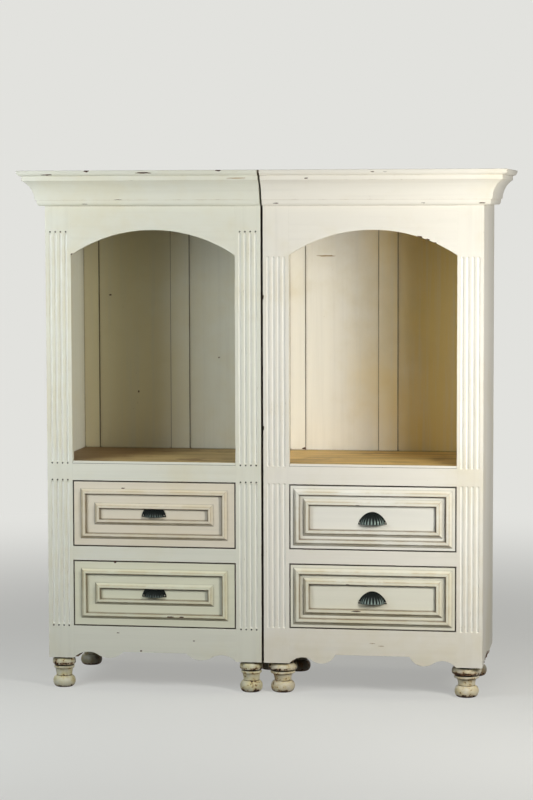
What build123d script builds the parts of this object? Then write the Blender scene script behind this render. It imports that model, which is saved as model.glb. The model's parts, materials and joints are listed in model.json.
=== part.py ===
from build123d import *

import os
from dataclasses import dataclass
from math import cos, pi, radians, sin, sqrt

# Painted armoire made of two tall sections that stand side by side. Each section has an open arched niche
# over two drawers, fluted stiles, a coved cornice that returns along its outer side, and four turned feet.
#
# The part stands on z = 0 with its front toward -Y, and its origin is under the middle of its box.
# A section is first made in its own frame: x runs outward from the side that meets its neighbour,
# y runs back from the front of the face frame, and z runs up from the floor. All sizes are millimetres.

# Overall sizes
SECTION_WIDTH = 760.0
SECTION_DEPTH = 510.0
SECTION_GAP = 8.0
HEIGHT = 1820.0
CARCASS_BOTTOM = 110.0
CORNICE_PROJECTION = 82.0
CORNICE_BOTTOM = 1699.0

# Boards
FRAME_THICKNESS = 22.0
STILE_WIDTH = 90.0
SIDE_THICKNESS = 20.0
BACK_THICKNESS = 18.0
TOP_THICKNESS = 18.0
BOTTOM_THICKNESS = 18.0
SHELF_THICKNESS = 20.0
SHELF_TOP = 808.0
SHELF_LIP = 9.0
SHELF_LIP_PLAY = 1.0
TENON_LENGTH = 25.0
TENON_THICKNESS = 8.0
TENON_SHOULDER = 12.0

# Arch over the niche
ARCH_SPRING = 1528.0
ARCH_PEAK = 1615.0

# Flutes of the stiles
FLUTE_COUNT = 4
FLUTE_PITCH = 18.5
FLUTE_WIDTH = 10.0
FLUTE_DEPTH = 4.0
FLUTE_FLOOR_SHARE = 0.45
FLUTE_RUN_OUT = 6.0
FLUTE_OVERCUT = 1.0

# Framed back
BACK_EDGE_STILE = 57.0
BACK_MIDDLE_STILE = 70.0
BACK_GROOVE = 8.0
BACK_PANEL_THICKNESS = 8.0
BACK_PANEL_RECESS = 4.0
BACK_PANEL_PLAY = 1.0
BACK_BOTTOM_RAIL_TOP = 230.0
BACK_MIDDLE_RAIL = (700.0, 788.0)
BACK_TOP_RAIL_BOTTOM = 1702.0

# Drawers
DRAWER_PLAY = 2.0
DRAWER_FRONT_THICKNESS = 20.0
DRAWER_BOX_THICKNESS = 14.0
DRAWER_BOX_LENGTH = 446.0
DRAWER_BOX_DROP = 8.0
DRAWER_BOTTOM_THICKNESS = 8.0
DRAWER_BOTTOM_RAISE = 12.0
DRAWER_BOTTOM_GROOVE = 6.0
DOVETAIL_COUNT = 3
DOVETAIL_HALF_PIN = 24.0
DOVETAIL_LAP = 6.0
DOVETAIL_SLOPE = 1 / 6
DOVETAIL_NECK_SHARE = 0.3
RUNNER_THICKNESS = 18.0
RUNNER_GAP = 0.3
RUNNER_LEDGE = 16.0
GUIDE_WIDTH = 28.0
GUIDE_HEIGHT = 28.0
GUIDE_GAP = 1.5
KICKER_WIDTH = 20.0
KICKER_GAP = 3.0

# Section of the drawer mouldings, as shares of their width and relief
MOULDING_EDGE_RELIEF = 0.36
MOULDING_LEDGE = (0.45, 0.46)
MOULDING_STEP = (0.48, 0.74)
MOULDING_RIDGE = 0.72

# Sawn lower edge of the apron, measured from the stile and from the carcass's underside
APRON_HUMP_RUN = 44.0
APRON_HUMP_RISE = 22.0
APRON_TURN_RISE = 13.0
APRON_LOBE_RISE = 2.0

# Cornice section: projections from the carcass and heights above the cornice's foot
CORNICE_RABBET = 18.0
CORNICE_BED = 23.0
CORNICE_SEAT = 46.0
CORNICE_BEAD_FOOT = 15.0
CORNICE_BEAD = 24.0
CORNICE_BEAD_ROUND = 13.5
CORNICE_FILLET = 66.0
CORNICE_CROWN_FOOT = 68.0
CORNICE_CROWN_RAISE = 102.0
CORNICE_CROWN_ROUND = 16.0
COVE_RADIUS = 81.0
COVE_TURN = radians(54.4)
COVE_FOOT = (29.5, 20.0)

# Turned stages of a foot, as heights above the floor
FOOT_BELLY = (8.0, 29.0)
FOOT_NECK = (41.0, 54.0, 66.0)
FOOT_RING = (67.5, 75.5)
FOOT_GROOVE = 79.0
FOOT_PAD = (80.0, 86.0, 97.0, 103.0)
FOOT_SIDES = 16
FOOT_SOLE_SHARE = 0.7
FOOT_EDGE_SHARE = 0.88
FOOT_SEAT_SHARE = 0.78

# Foot blocks and the round tenons that the feet stand in
BLOCK_SIZE = 80.0
FOOT_TENON_RADIUS = 12.0
FOOT_TENON_LENGTH = 40.0
FOOT_TENON_PLAY = 0.2

# Cup pulls
PULL_PLATE_THICKNESS = 2.0
PULL_WALL = 2.2
PULL_RIBS = 11
PULL_RIB_BULGE = 1.8
PULL_HOLLOW_FLATS = 8
PULL_PLATE_FLATS = 16
PULL_LEVELS = (0.0, 0.36, 0.66, 0.87, 0.97)
PULL_SCREW_RADIUS = 1.5
PULL_SCREW_HEAD_RADIUS = 2.9
PULL_SCREW_HEAD_HEIGHT = 1.8
PULL_SCREW_LENGTH = 15.0
PULL_SCREW_PLAY = 0.2
PULL_SCREW_RISE = 5.0
PULL_SCREW_SIDES = 8

# Bolts that draw the two sections together over spacers
BOLT_RADIUS = 4.0
BOLT_SIDES = 12
BOLT_PLAY = 0.3
BOLT_HEAD_HEIGHT = 5.5
BOLT_TAIL = 9.0
NUT_ACROSS_FLATS = 13.0
NUT_HEIGHT = 6.5
SPACER_SIZE = 30.0
BOLT_SETBACK = 255.0
BOLT_HEIGHTS = (350.0, 1690.0)

# Places that follow from the sizes above
CARCASS_TOP = HEIGHT - TOP_THICKNESS
FRONT_Y = (CORNICE_PROJECTION - SECTION_DEPTH) / 2
BACK_Y = SECTION_DEPTH - BACK_THICKNESS
OPENING = (STILE_WIDTH, SECTION_WIDTH - STILE_WIDTH)
MIDDLE = SECTION_WIDTH / 2
INSIDE = (SIDE_THICKNESS, SECTION_WIDTH - SIDE_THICKNESS)
FRAME_DEPTH = (0.0, FRAME_THICKNESS)
INSIDE_DEPTH = (FRAME_THICKNESS, BACK_Y)
TENON_DEPTH = ((FRAME_THICKNESS - TENON_THICKNESS) / 2, (FRAME_THICKNESS + TENON_THICKNESS) / 2)
SHELF_RAIL_TOP = SHELF_TOP - SHELF_LIP


@dataclass(frozen=True)
class Foot:
    """Radii of a turned foot from the floor up, and how far its centre stands in from the edges."""

    belly: float
    neck: float
    flare: float
    ring: float
    pad: float
    inset: float


@dataclass(frozen=True)
class Moulding:
    """The two rectangles of moulding on a drawer front, measured inward from the front's edges."""

    border: float
    width: float
    spacing: float
    relief: float


@dataclass(frozen=True)
class Pull:
    """A ribbed cup pull: its plate, its shell, and the height at which its plate is cut off, if it is."""

    width: float
    height: float
    shell_width: float
    shell_height: float
    depth: float
    trim: float | None
    base: float


@dataclass(frozen=True)
class Section:
    """What differs between the two sections. Openings and flutes are heights above the floor."""

    name: str
    mirrored: bool
    drawers: dict
    flutes: tuple
    apron_lobe: float
    apron_corner: float
    apron_flat: float
    foot: Foot
    moulding: Moulding
    pull: Pull


LEFT = Section(
    name="left",
    mirrored=True,
    drawers={"lower": (225.0, 458.0), "upper": (507.0, 740.0)},
    flutes=((222.0, 744.0), (797.0, 1612.0)),
    apron_lobe=219.0,
    apron_corner=267.0,
    apron_flat=135.0,
    foot=Foot(belly=39.5, neck=25.5, flare=29.5, ring=36.0, pad=40.5, inset=43.5),
    moulding=Moulding(border=27.0, width=18.0, spacing=32.0, relief=10.0),
    pull=Pull(87.0, 50.0, 62.0, 23.5, 21.0, trim=26.0, base=-8.5),
)
RIGHT = Section(
    name="right",
    mirrored=False,
    drawers={"lower": (234.0, 461.0), "upper": (510.0, 737.0)},
    flutes=((232.0, 739.0), (796.0, 1524.0)),
    apron_lobe=203.0,
    apron_corner=251.0,
    apron_flat=144.0,
    foot=Foot(belly=42.0, neck=27.0, flare=32.0, ring=43.5, pad=51.5, inset=58.0),
    moulding=Moulding(border=13.0, width=21.0, spacing=13.0, relief=11.0),
    pull=Pull(99.0, 43.0, 81.0, 36.5, 24.0, trim=None, base=-21.0),
)


def board(x, y, z):
    """A square-edged board between (low, high) limits along each axis."""
    (x0, x1), (y0, y1), (z0, z1) = x, y, z
    return Pos((x0 + x1) / 2, (y0 + y1) / 2, (z0 + z1) / 2) * Box(x1 - x0, y1 - y0, z1 - z0)


def front_cut(outline, depth):
    """A board sawn to an outline seen from the front, between two depths."""
    near, far = depth
    return extrude(Plane.XZ.offset(-far) * make_face(outline), far - near)


def flat_solid(levels):
    """A closed solid of flat faces through a stack of outlines, each a like-sized list of points."""
    faces = [make_face(Polyline(*levels[0], close=True)), make_face(Polyline(*levels[-1], close=True))]
    for lower, upper in zip(levels, levels[1:]):
        for here in range(len(lower)):
            after = (here + 1) % len(lower)
            corners = (lower[here], lower[after], upper[after], upper[here])
            faces.append(make_face(Polyline(*corners, close=True)))
    return Solid(Shell([face.face() for face in faces]))


def turned(profile, sides):
    """A turned piece about Z, cut with a number of flats, from its radii and heights."""
    turns = [2 * pi * index / sides for index in range(sides)]
    return flat_solid([[(r * cos(turn), r * sin(turn), z) for turn in turns] for r, z in profile])


def half_round(half_width, depth, flats, bulge=0.0):
    """Points round a half ellipse from +x to -x, every second one pushed out by the bulge."""
    points = []
    for index in range(flats + 1):
        turn = pi * index / flats
        rise = bulge * (index % 2)
        points.append(((half_width + rise) * cos(turn), (depth + rise) * sin(turn)))
    return points


def pointed_arch(half_width, height, flats):
    """Points over an arch from +x to -x, midway between a half ellipse and a parabola, with sharp ends."""
    points = []
    for index in range(flats + 1):
        turn = pi * index / flats
        rise = (sin(turn) + sin(turn) ** 2) / 2
        points.append((half_width * cos(turn), height * rise))
    return points


def across(limits):
    """The same stretch of x on the other side of the section's middle."""
    low, high = limits
    return (SECTION_WIDTH - high, SECTION_WIDTH - low)


def both_sides(shape):
    """A piece and its mirror image about the section's middle."""
    return [shape, mirror(shape, about=Plane.YZ.offset(MIDDLE))]


def rail_tenons(height):
    """The two tenons that hold a rail of the face frame between the stiles."""
    low, high = height
    tall = (low + TENON_SHOULDER, high - TENON_SHOULDER)
    inner = (OPENING[0] - TENON_LENGTH, OPENING[0])
    return board(inner, TENON_DEPTH, tall) + board(across(inner), TENON_DEPTH, tall)


def rail_heights(section):
    """Bottom and top of each rail's square ends, where it meets the stiles."""
    lower, upper = section.drawers["lower"], section.drawers["upper"]
    return {
        "apron": (CARCASS_BOTTOM, lower[0]),
        "drawer_rail": (lower[1], upper[0]),
        "shelf_rail": (upper[1], SHELF_RAIL_TOP),
        "arch_rail": (ARCH_SPRING, CARCASS_TOP),
    }


def flute(x, height):
    """Cutter for one flute: an upright groove in the front face that runs out at both ends."""
    low, high = height
    rim, floor = FLUTE_WIDTH / 2, FLUTE_FLOOR_SHARE * FLUTE_WIDTH / 2
    reach = FLUTE_DEPTH + FLUTE_OVERCUT
    tip = FLUTE_OVERCUT / reach
    levels = []
    for size, z in ((tip, low), (1.0, low + FLUTE_RUN_OUT), (1.0, high - FLUTE_RUN_OUT), (tip, high)):
        outline = ((-rim, 0), (rim, 0), (floor, reach), (-floor, reach))
        levels.append([(x + size * side, size * deep - FLUTE_OVERCUT, z) for side, deep in outline])
    return flat_solid(levels)


def stile(section):
    """The stile at the meeting side: fluted on its face and mortised for the rails."""
    post = board((0, STILE_WIDTH), FRAME_DEPTH, (CARCASS_BOTTOM, CARCASS_TOP))
    for height in rail_heights(section).values():
        post -= rail_tenons(height)
    first = (STILE_WIDTH - (FLUTE_COUNT - 1) * FLUTE_PITCH) / 2
    for height in section.flutes:
        for index in range(FLUTE_COUNT):
            post -= flute(first + index * FLUTE_PITCH, height)
    return post


def plain_rail(height):
    """A square rail of the face frame with its tenons."""
    return board(OPENING, FRAME_DEPTH, height) + rail_tenons(height)


def arch_rail(section):
    """The top rail, arched over the niche and running up behind the cornice."""
    left, right = OPENING
    outline = [
        ThreePointArc((left, ARCH_SPRING), (MIDDLE, ARCH_PEAK), (right, ARCH_SPRING)),
        Line((right, ARCH_SPRING), (right, CARCASS_TOP)),
        Line((right, CARCASS_TOP), (left, CARCASS_TOP)),
        Line((left, CARCASS_TOP), (left, ARCH_SPRING)),
    ]
    return front_cut(outline, FRAME_DEPTH) + rail_tenons(rail_heights(section)["arch_rail"])


def apron(section):
    """The bottom rail, its lower edge sawn to a hump, a lobe and a flat middle, the same both ways."""
    top = section.drawers["lower"][0]
    start = (OPENING[0], CARCASS_BOTTOM)
    hump = (OPENING[0] + APRON_HUMP_RUN, CARCASS_BOTTOM + APRON_HUMP_RISE)
    turn = ((hump[0] + section.apron_lobe) / 2, CARCASS_BOTTOM + APRON_TURN_RISE)
    corner = (section.apron_corner, section.apron_flat)
    rise = ThreePointArc(start, hump, turn)
    lobe = ThreePointArc(turn, (section.apron_lobe, CARCASS_BOTTOM + APRON_LOBE_RISE), corner)
    half = [
        rise,
        lobe,
        Line(corner, (MIDDLE, section.apron_flat)),
        Line((MIDDLE, section.apron_flat), (MIDDLE, top)),
        Line((MIDDLE, top), (OPENING[0], top)),
        Line((OPENING[0], top), start),
    ]
    sawn = front_cut(half, FRAME_DEPTH)
    whole = sawn + mirror(sawn, about=Plane.YZ.offset(MIDDLE))
    return whole + rail_tenons((CARCASS_BOTTOM + 2 * TENON_SHOULDER, top))


def bolt_places():
    """Where the connecting bolts pass through the meeting sides: depth and height of each."""
    return [(BOLT_SETBACK, height) for height in BOLT_HEIGHTS]


def along_x(length, radius):
    """A bolt-like bar along X, centred on the origin."""
    return Rot(0, 90, 0) * turned(((radius, -length / 2), (radius, length / 2)), BOLT_SIDES)


def meeting_side():
    """The side board that stands against the other section, drilled for the bolts."""
    panel = board((0, SIDE_THICKNESS), (FRAME_THICKNESS, SECTION_DEPTH), (CARCASS_BOTTOM, CARCASS_TOP))
    for setback, height in bolt_places():
        hole = along_x(3 * SIDE_THICKNESS, BOLT_RADIUS + BOLT_PLAY)
        panel -= Pos(SIDE_THICKNESS / 2, setback, height) * hole
    return panel


def outer_side():
    """The plain side board on the outside."""
    width = across((0, SIDE_THICKNESS))
    return board(width, (FRAME_THICKNESS, SECTION_DEPTH), (CARCASS_BOTTOM, CARCASS_TOP))


def shelf():
    """The niche floor, with a thin lip that laps over the shelf rail."""
    deck = board(INSIDE, INSIDE_DEPTH, (SHELF_TOP - SHELF_THICKNESS, SHELF_TOP))
    lip_width = (OPENING[0] + SHELF_LIP_PLAY, OPENING[1] - SHELF_LIP_PLAY)
    return deck + board(lip_width, (SHELF_LIP_PLAY, FRAME_THICKNESS), (SHELF_RAIL_TOP, SHELF_TOP))


def bottom_board(section):
    """The board under the lower drawer, which rests on the foot blocks."""
    top = section.drawers["lower"][0] - RUNNER_THICKNESS
    return board(INSIDE, INSIDE_DEPTH, (top - BOTTOM_THICKNESS, top))


def cove_point(turn):
    """A point on the cornice's cove, so far round from its foot."""
    foot_out, foot_up = COVE_FOOT
    return (
        foot_out + COVE_RADIUS * (1 - cos(turn)),
        CORNICE_BOTTOM + foot_up + COVE_RADIUS * sin(turn),
    )


def quarter_round(start, end):
    """An arc that swells out from its start and ends upright."""
    run, rise = end[0] - start[0], end[1] - start[1]
    return RadiusArc(start, end, -(run**2 + rise**2) / (2 * run))


def cornice_profile():
    """Cross-section of the sprung cornice: projection from the carcass, and height."""
    low, out = CORNICE_BOTTOM, CORNICE_PROJECTION
    inner = out - CORNICE_RABBET
    cove_foot, cove_head = cove_point(0), cove_point(COVE_TURN)
    bead_top = low + CORNICE_BEAD_ROUND
    crown_low = low + CORNICE_CROWN_RAISE
    crown_top = crown_low + CORNICE_CROWN_ROUND
    return make_face(
        [
            Line((0, low), (CORNICE_BEAD_FOOT, low)),
            quarter_round((CORNICE_BEAD_FOOT, low), (CORNICE_BEAD, bead_top)),
            Polyline((CORNICE_BEAD, bead_top), (CORNICE_BEAD, cove_foot[1]), cove_foot),
            ThreePointArc(cove_foot, cove_point(COVE_TURN / 2), cove_head),
            Polyline(
                cove_head,
                (CORNICE_FILLET, cove_head[1]),
                (CORNICE_FILLET, crown_low),
                (CORNICE_CROWN_FOOT, crown_low),
            ),
            quarter_round((CORNICE_CROWN_FOOT, crown_low), (out, crown_top)),
            Polyline(
                (out, crown_top),
                (out, HEIGHT),
                (inner, HEIGHT),
                (inner, CARCASS_TOP),
                (CORNICE_SEAT, CARCASS_TOP),
                (0, low + CORNICE_BED),
                (0, low),
            ),
        ]
    )


def cornice():
    """The cornice along the front and its return along the outer side, mitred at the corner."""
    reach = SECTION_WIDTH + CORNICE_PROJECTION
    front_end = Plane(origin=(reach, 0, 0), x_dir=(0, -1, 0), z_dir=(-1, 0, 0))
    side_end = Plane(origin=(SECTION_WIDTH, SECTION_DEPTH, 0), x_dir=(1, 0, 0), z_dir=(0, -1, 0))
    mitre = Plane(origin=(SECTION_WIDTH, 0, 0), z_dir=(1, 1, 0))
    front = extrude(front_end * cornice_profile(), reach)
    side = extrude(side_end * cornice_profile(), SECTION_DEPTH + CORNICE_PROJECTION)
    return split(front, mitre, Keep.BOTTOM), split(side, mitre, Keep.TOP)


def top_board():
    """The dust board over the carcass, let into the cornice along the front and the outer side."""
    overhang = CORNICE_PROJECTION - CORNICE_RABBET
    return board((0, SECTION_WIDTH + overhang), (-overhang, SECTION_DEPTH), (CARCASS_TOP, HEIGHT))


def back_bays():
    """The two stretches of x between the stiles of the back."""
    half = BACK_MIDDLE_STILE / 2
    inner = (INSIDE[0] + BACK_EDGE_STILE, MIDDLE - half)
    return inner, across(inner)


def back_rails():
    """Bottom and top of each rail of the back."""
    return (CARCASS_BOTTOM, BACK_BOTTOM_RAIL_TOP), BACK_MIDDLE_RAIL, (BACK_TOP_RAIL_BOTTOM, CARCASS_TOP)


def groove_depth():
    """The depths between which the grooves of the back run."""
    near = BACK_Y + BACK_PANEL_RECESS
    return (near, near + BACK_PANEL_THICKNESS)


def back_frame():
    """Three stiles and six rails of the back, grooved for the panels."""
    depth = (BACK_Y, SECTION_DEPTH)
    full = (CARCASS_BOTTOM, CARCASS_TOP)
    left_bay, right_bay = back_bays()
    pieces = []
    edge = board((INSIDE[0], left_bay[0]), depth, full)
    edge -= board((left_bay[0] - BACK_GROOVE, left_bay[0]), groove_depth(), full)
    pieces += both_sides(edge)
    middle = board((left_bay[1], right_bay[0]), depth, full)
    middle -= board((left_bay[1], left_bay[1] + BACK_GROOVE), groove_depth(), full)
    middle -= board((right_bay[0] - BACK_GROOVE, right_bay[0]), groove_depth(), full)
    pieces.append(middle)
    for low, high in back_rails():
        tongue = (left_bay[0] - BACK_GROOVE, left_bay[1] + BACK_GROOVE)
        rail = board(left_bay, depth, (low, high)) + board(tongue, groove_depth(), (low, high))
        if low > CARCASS_BOTTOM:
            rail -= board(tongue, groove_depth(), (low, low + BACK_GROOVE))
        if high < CARCASS_TOP:
            rail -= board(tongue, groove_depth(), (high - BACK_GROOVE, high))
        pieces += both_sides(rail)
    return pieces


def back_panels():
    """The four thin panels, loose in the grooves of the back's frame."""
    tuck = BACK_GROOVE - BACK_PANEL_PLAY
    left_bay = back_bays()[0]
    width = (left_bay[0] - tuck, left_bay[1] + tuck)
    bottom, middle, top = back_rails()
    pieces = []
    for low, high in ((bottom[1], middle[0]), (middle[1], top[0])):
        pieces += both_sides(board(width, groove_depth(), (low - tuck, high + tuck)))
    return pieces


def foot_places(section):
    """Plan positions of the four feet."""
    inset = section.foot.inset
    return [(x, y) for x in (inset, SECTION_WIDTH - inset) for y in (inset, SECTION_DEPTH - inset)]


def turned_foot(foot):
    """A turned foot standing on the origin: belly, neck, ring and pad, with a round tenon on top."""
    belly_low, belly_high = FOOT_BELLY
    neck_low, neck_middle, neck_high = FOOT_NECK
    ring_low, ring_high = FOOT_RING
    pad_low, pad_wide, pad_round, pad_high = FOOT_PAD
    profile = (
        (FOOT_SOLE_SHARE * foot.belly, 0),
        (foot.belly, belly_low),
        (foot.belly, belly_high),
        (foot.neck, neck_low),
        (foot.neck, neck_middle),
        (foot.flare, neck_high),
        (foot.ring, ring_low),
        (foot.ring, ring_high),
        (FOOT_EDGE_SHARE * foot.ring, FOOT_GROOVE),
        (FOOT_EDGE_SHARE * foot.pad, pad_low),
        (foot.pad, pad_wide),
        (foot.pad, pad_round),
        (FOOT_EDGE_SHARE * foot.pad, pad_high),
        (FOOT_SEAT_SHARE * foot.pad, CARCASS_BOTTOM),
        (FOOT_TENON_RADIUS, CARCASS_BOTTOM),
        (FOOT_TENON_RADIUS, CARCASS_BOTTOM + FOOT_TENON_LENGTH),
    )
    return turned(profile, FOOT_SIDES)


def feet(section):
    """The four feet of a section."""
    foot = turned_foot(section.foot)
    return [Pos(x, y, 0) * foot for x, y in foot_places(section)]


def foot_blocks(section):
    """Corner blocks under the bottom board, bored for the tenons of the feet."""
    top = section.drawers["lower"][0] - RUNNER_THICKNESS - BOTTOM_THICKNESS
    rows = ((INSIDE_DEPTH[0], INSIDE_DEPTH[0] + BLOCK_SIZE), (INSIDE_DEPTH[1] - BLOCK_SIZE, INSIDE_DEPTH[1]))
    bore_radius = FOOT_TENON_RADIUS + FOOT_TENON_PLAY
    bore = turned(((bore_radius, -FOOT_TENON_LENGTH), (bore_radius, FOOT_TENON_LENGTH)), FOOT_SIDES)
    pieces = []
    for (x, y), row in zip(foot_places(section)[:2], rows):
        block = board((INSIDE[0], INSIDE[0] + BLOCK_SIZE), row, (CARCASS_BOTTOM, top))
        pieces += both_sides(block - Pos(x, y, CARCASS_BOTTOM) * bore)
    return pieces


def drawer_guides(section):
    """For each drawer, a runner, the guide strip that lies on it and a kicker strip, on both sides."""
    wall = OPENING[0] + DRAWER_PLAY
    ledge = (INSIDE[0], wall + RUNNER_LEDGE)
    guide = (wall - GUIDE_GAP - GUIDE_WIDTH, wall - GUIDE_GAP)
    kicker = (wall, wall + KICKER_WIDTH)
    upper_runner = section.drawers["upper"][0] - RUNNER_THICKNESS
    ceilings = {"lower": upper_runner, "upper": SHELF_TOP - SHELF_THICKNESS}
    pieces = []
    for level, (low, high) in section.drawers.items():
        top = low + DRAWER_PLAY - RUNNER_GAP
        kicker_bottom = high - DRAWER_BOX_DROP + KICKER_GAP
        pieces += both_sides(board(ledge, INSIDE_DEPTH, (low - RUNNER_THICKNESS, top)))
        pieces += both_sides(board(guide, INSIDE_DEPTH, (top, top + GUIDE_HEIGHT)))
        pieces += both_sides(board(kicker, INSIDE_DEPTH, (kicker_bottom, ceilings[level])))
    return pieces


def dovetails(height, wide_y, narrow_y, x):
    """A row of dovetails as seen from the side of a drawer, spread over a height."""
    low, high = height
    pitch = (high - low - 2 * DOVETAIL_HALF_PIN) / DOVETAIL_COUNT
    narrow = DOVETAIL_NECK_SHARE * pitch
    wide = narrow + DOVETAIL_SLOPE * abs(wide_y - narrow_y)
    tails = Part()
    for index in range(DOVETAIL_COUNT):
        centre = low + DOVETAIL_HALF_PIN + (index + 0.5) * pitch
        outline = make_face(
            Polyline(
                (narrow_y, centre - narrow),
                (narrow_y, centre + narrow),
                (wide_y, centre + wide),
                (wide_y, centre - wide),
                close=True,
            )
        )
        tails += extrude(Plane.YZ.offset(x[0]) * outline, x[1] - x[0])
    return tails


def drawer_box(opening):
    """A drawer's plain front board, its dovetailed sides and back, and its bottom panel."""
    low, high = opening[0] + DRAWER_PLAY, opening[1] - DRAWER_BOX_DROP
    wall = (OPENING[0] + DRAWER_PLAY, OPENING[0] + DRAWER_PLAY + DRAWER_BOX_THICKNESS)
    shoulder = DRAWER_FRONT_THICKNESS
    end = shoulder + DRAWER_BOX_LENGTH
    back_front = end - DRAWER_BOX_THICKNESS
    bottom_low = low + DRAWER_BOTTOM_RAISE
    bottom_top = bottom_low + DRAWER_BOTTOM_THICKNESS
    tuck = wall[1] - DRAWER_BOTTOM_GROOVE
    bottom = board(
        (tuck, SECTION_WIDTH - tuck),
        (shoulder - DRAWER_BOTTOM_GROOVE, end),
        (bottom_low, bottom_top),
    )
    front_tails = dovetails((low, high), DOVETAIL_LAP, shoulder, wall)
    back_tails = dovetails((bottom_top, high), end, back_front, wall)
    side = board(wall, (shoulder, back_front), (low, high)) + front_tails + back_tails
    side += board(wall, (back_front, end), (low, bottom_top))
    side -= bottom
    front = board(
        (wall[0], SECTION_WIDTH - wall[0]),
        (0, shoulder),
        (low, opening[1] - DRAWER_PLAY),
    )
    back = board((wall[0], SECTION_WIDTH - wall[0]), (back_front, end), (bottom_top, high))
    for tail in both_sides(front_tails):
        front -= tail
    for tail in both_sides(back_tails):
        back -= tail
    return front - bottom, [*both_sides(side), back], bottom


def moulding_profile(width, relief):
    """Cross-section of the drawer moulding, a low ledge and a ridge: distance in, and relief."""
    ledge_in, ledge_up = MOULDING_LEDGE
    step_in, step_up = MOULDING_STEP
    outline = Polyline(
        (0, 0),
        (0, MOULDING_EDGE_RELIEF * relief),
        (ledge_in * width, ledge_up * relief),
        (step_in * width, step_up * relief),
        (MOULDING_RIDGE * width, relief),
        (width, relief),
        (width, 0),
        close=True,
    )
    return make_face(outline)


def moulding_strip(length, moulding):
    """One strip with mitred ends: its outer edge lies along X at z = 0, its back on y = 0."""
    start = Plane(origin=(-length / 2, 0, 0), x_dir=(0, 0, 1), z_dir=(1, 0, 0))
    strip = extrude(start * moulding_profile(moulding.width, moulding.relief), length)
    for way in (-1, 1):
        mitre = Plane(origin=(way * length / 2, 0, 0), z_dir=(way, 0, 1))
        strip = split(strip, mitre, Keep.BOTTOM)
    return strip


def moulding_frame(x, z, moulding):
    """Four mitred strips round a rectangle on the drawer front."""
    (x0, x1), (z0, z1) = x, z
    across_strip = moulding_strip(x1 - x0, moulding)
    upright_strip = moulding_strip(z1 - z0, moulding)
    middle_x, middle_z = (x0 + x1) / 2, (z0 + z1) / 2
    return [
        Pos(middle_x, 0, z0) * across_strip,
        Pos(middle_x, 0, z1) * Rot(0, 180, 0) * across_strip,
        Pos(x0, 0, middle_z) * Rot(0, 90, 0) * upright_strip,
        Pos(x1, 0, middle_z) * Rot(0, -90, 0) * upright_strip,
    ]


def drawer_mouldings(opening, moulding):
    """The outer and the inner rectangle of moulding on a drawer front."""
    x0, x1 = OPENING[0] + DRAWER_PLAY, OPENING[1] - DRAWER_PLAY
    z0, z1 = opening[0] + DRAWER_PLAY, opening[1] - DRAWER_PLAY
    strips = []
    for inset in (moulding.border, moulding.border + moulding.width + moulding.spacing):
        strips += moulding_frame((x0 + inset, x1 - inset), (z0 + inset, z1 - inset), moulding)
    return strips


def shell_dome(half_width, height, depth, flats, bulge=0.0):
    """A quarter dome whose ribs fan down from its crown to its open foot."""
    levels = []
    for share in PULL_LEVELS:
        size = sqrt(1 - share**2)
        outline = half_round(size * half_width, size * depth, flats, size * bulge)
        levels.append([(x, -y, share * height) for x, y in outline])
    return flat_solid(levels)


def pull_screw_places(pull):
    """Where the screws of a pull sit on its plate: one in each lower corner."""
    ear = (pull.width + pull.shell_width) / 4
    return [(-ear, PULL_SCREW_RISE), (ear, PULL_SCREW_RISE)]


def cup_pull(pull):
    """A ribbed half-shell on a thin arched plate, open below, its foot on z = 0."""
    half = pull.width / 2
    plate_depth = (-PULL_PLATE_THICKNESS, 0)
    plate_outline = Polyline(*pointed_arch(half, pull.height, PULL_PLATE_FLATS), close=True)
    plate = front_cut(plate_outline, plate_depth)
    if pull.trim is not None:
        plate -= board((-half, half), plate_depth, (pull.trim, 2 * pull.height))
    shell_half = pull.shell_width / 2
    dome = shell_dome(shell_half, pull.shell_height, pull.depth, 2 * PULL_RIBS, PULL_RIB_BULGE)
    hollow = shell_dome(
        shell_half - PULL_WALL,
        pull.shell_height - PULL_WALL,
        pull.depth - PULL_WALL,
        PULL_HOLLOW_FLATS,
    )
    body = plate + dome - hollow
    hole_radius = PULL_SCREW_RADIUS + PULL_SCREW_PLAY
    hole = turned(
        ((hole_radius, -PULL_PLATE_THICKNESS), (hole_radius, 2 * PULL_PLATE_THICKNESS)),
        PULL_SCREW_SIDES,
    )
    for x, z in pull_screw_places(pull):
        body -= Pos(x, 0, z) * Rot(90, 0, 0) * hole
    return body


def pull_screw():
    """A wood screw along +Y whose low conical head sits on y = 0."""
    profile = (
        (PULL_SCREW_HEAD_RADIUS / 2, PULL_SCREW_HEAD_HEIGHT),
        (PULL_SCREW_HEAD_RADIUS, 0),
        (PULL_SCREW_RADIUS, 0),
        (PULL_SCREW_RADIUS, PULL_SCREW_HEAD_HEIGHT - PULL_SCREW_LENGTH),
        (PULL_SCREW_RADIUS / 2, -PULL_SCREW_LENGTH),
    )
    return Rot(90, 0, 0) * turned(profile, PULL_SCREW_SIDES)


def drawer(section, level):
    """All the pieces of one drawer by name, in the section's frame."""
    opening = section.drawers[level]
    pull = section.pull
    front, box, bottom = drawer_box(opening)
    foot_z = (opening[0] + opening[1]) / 2 + pull.base
    screws = [
        Pos(MIDDLE + x, -PULL_PLATE_THICKNESS, foot_z + z) * pull_screw()
        for x, z in pull_screw_places(pull)
    ]
    return {
        "front": front,
        "mouldings": drawer_mouldings(opening, section.moulding),
        "box": box,
        "bottom": bottom,
        "pull": Pos(MIDDLE, 0, foot_z) * cup_pull(pull),
        "pull_screws": screws,
    }


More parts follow.
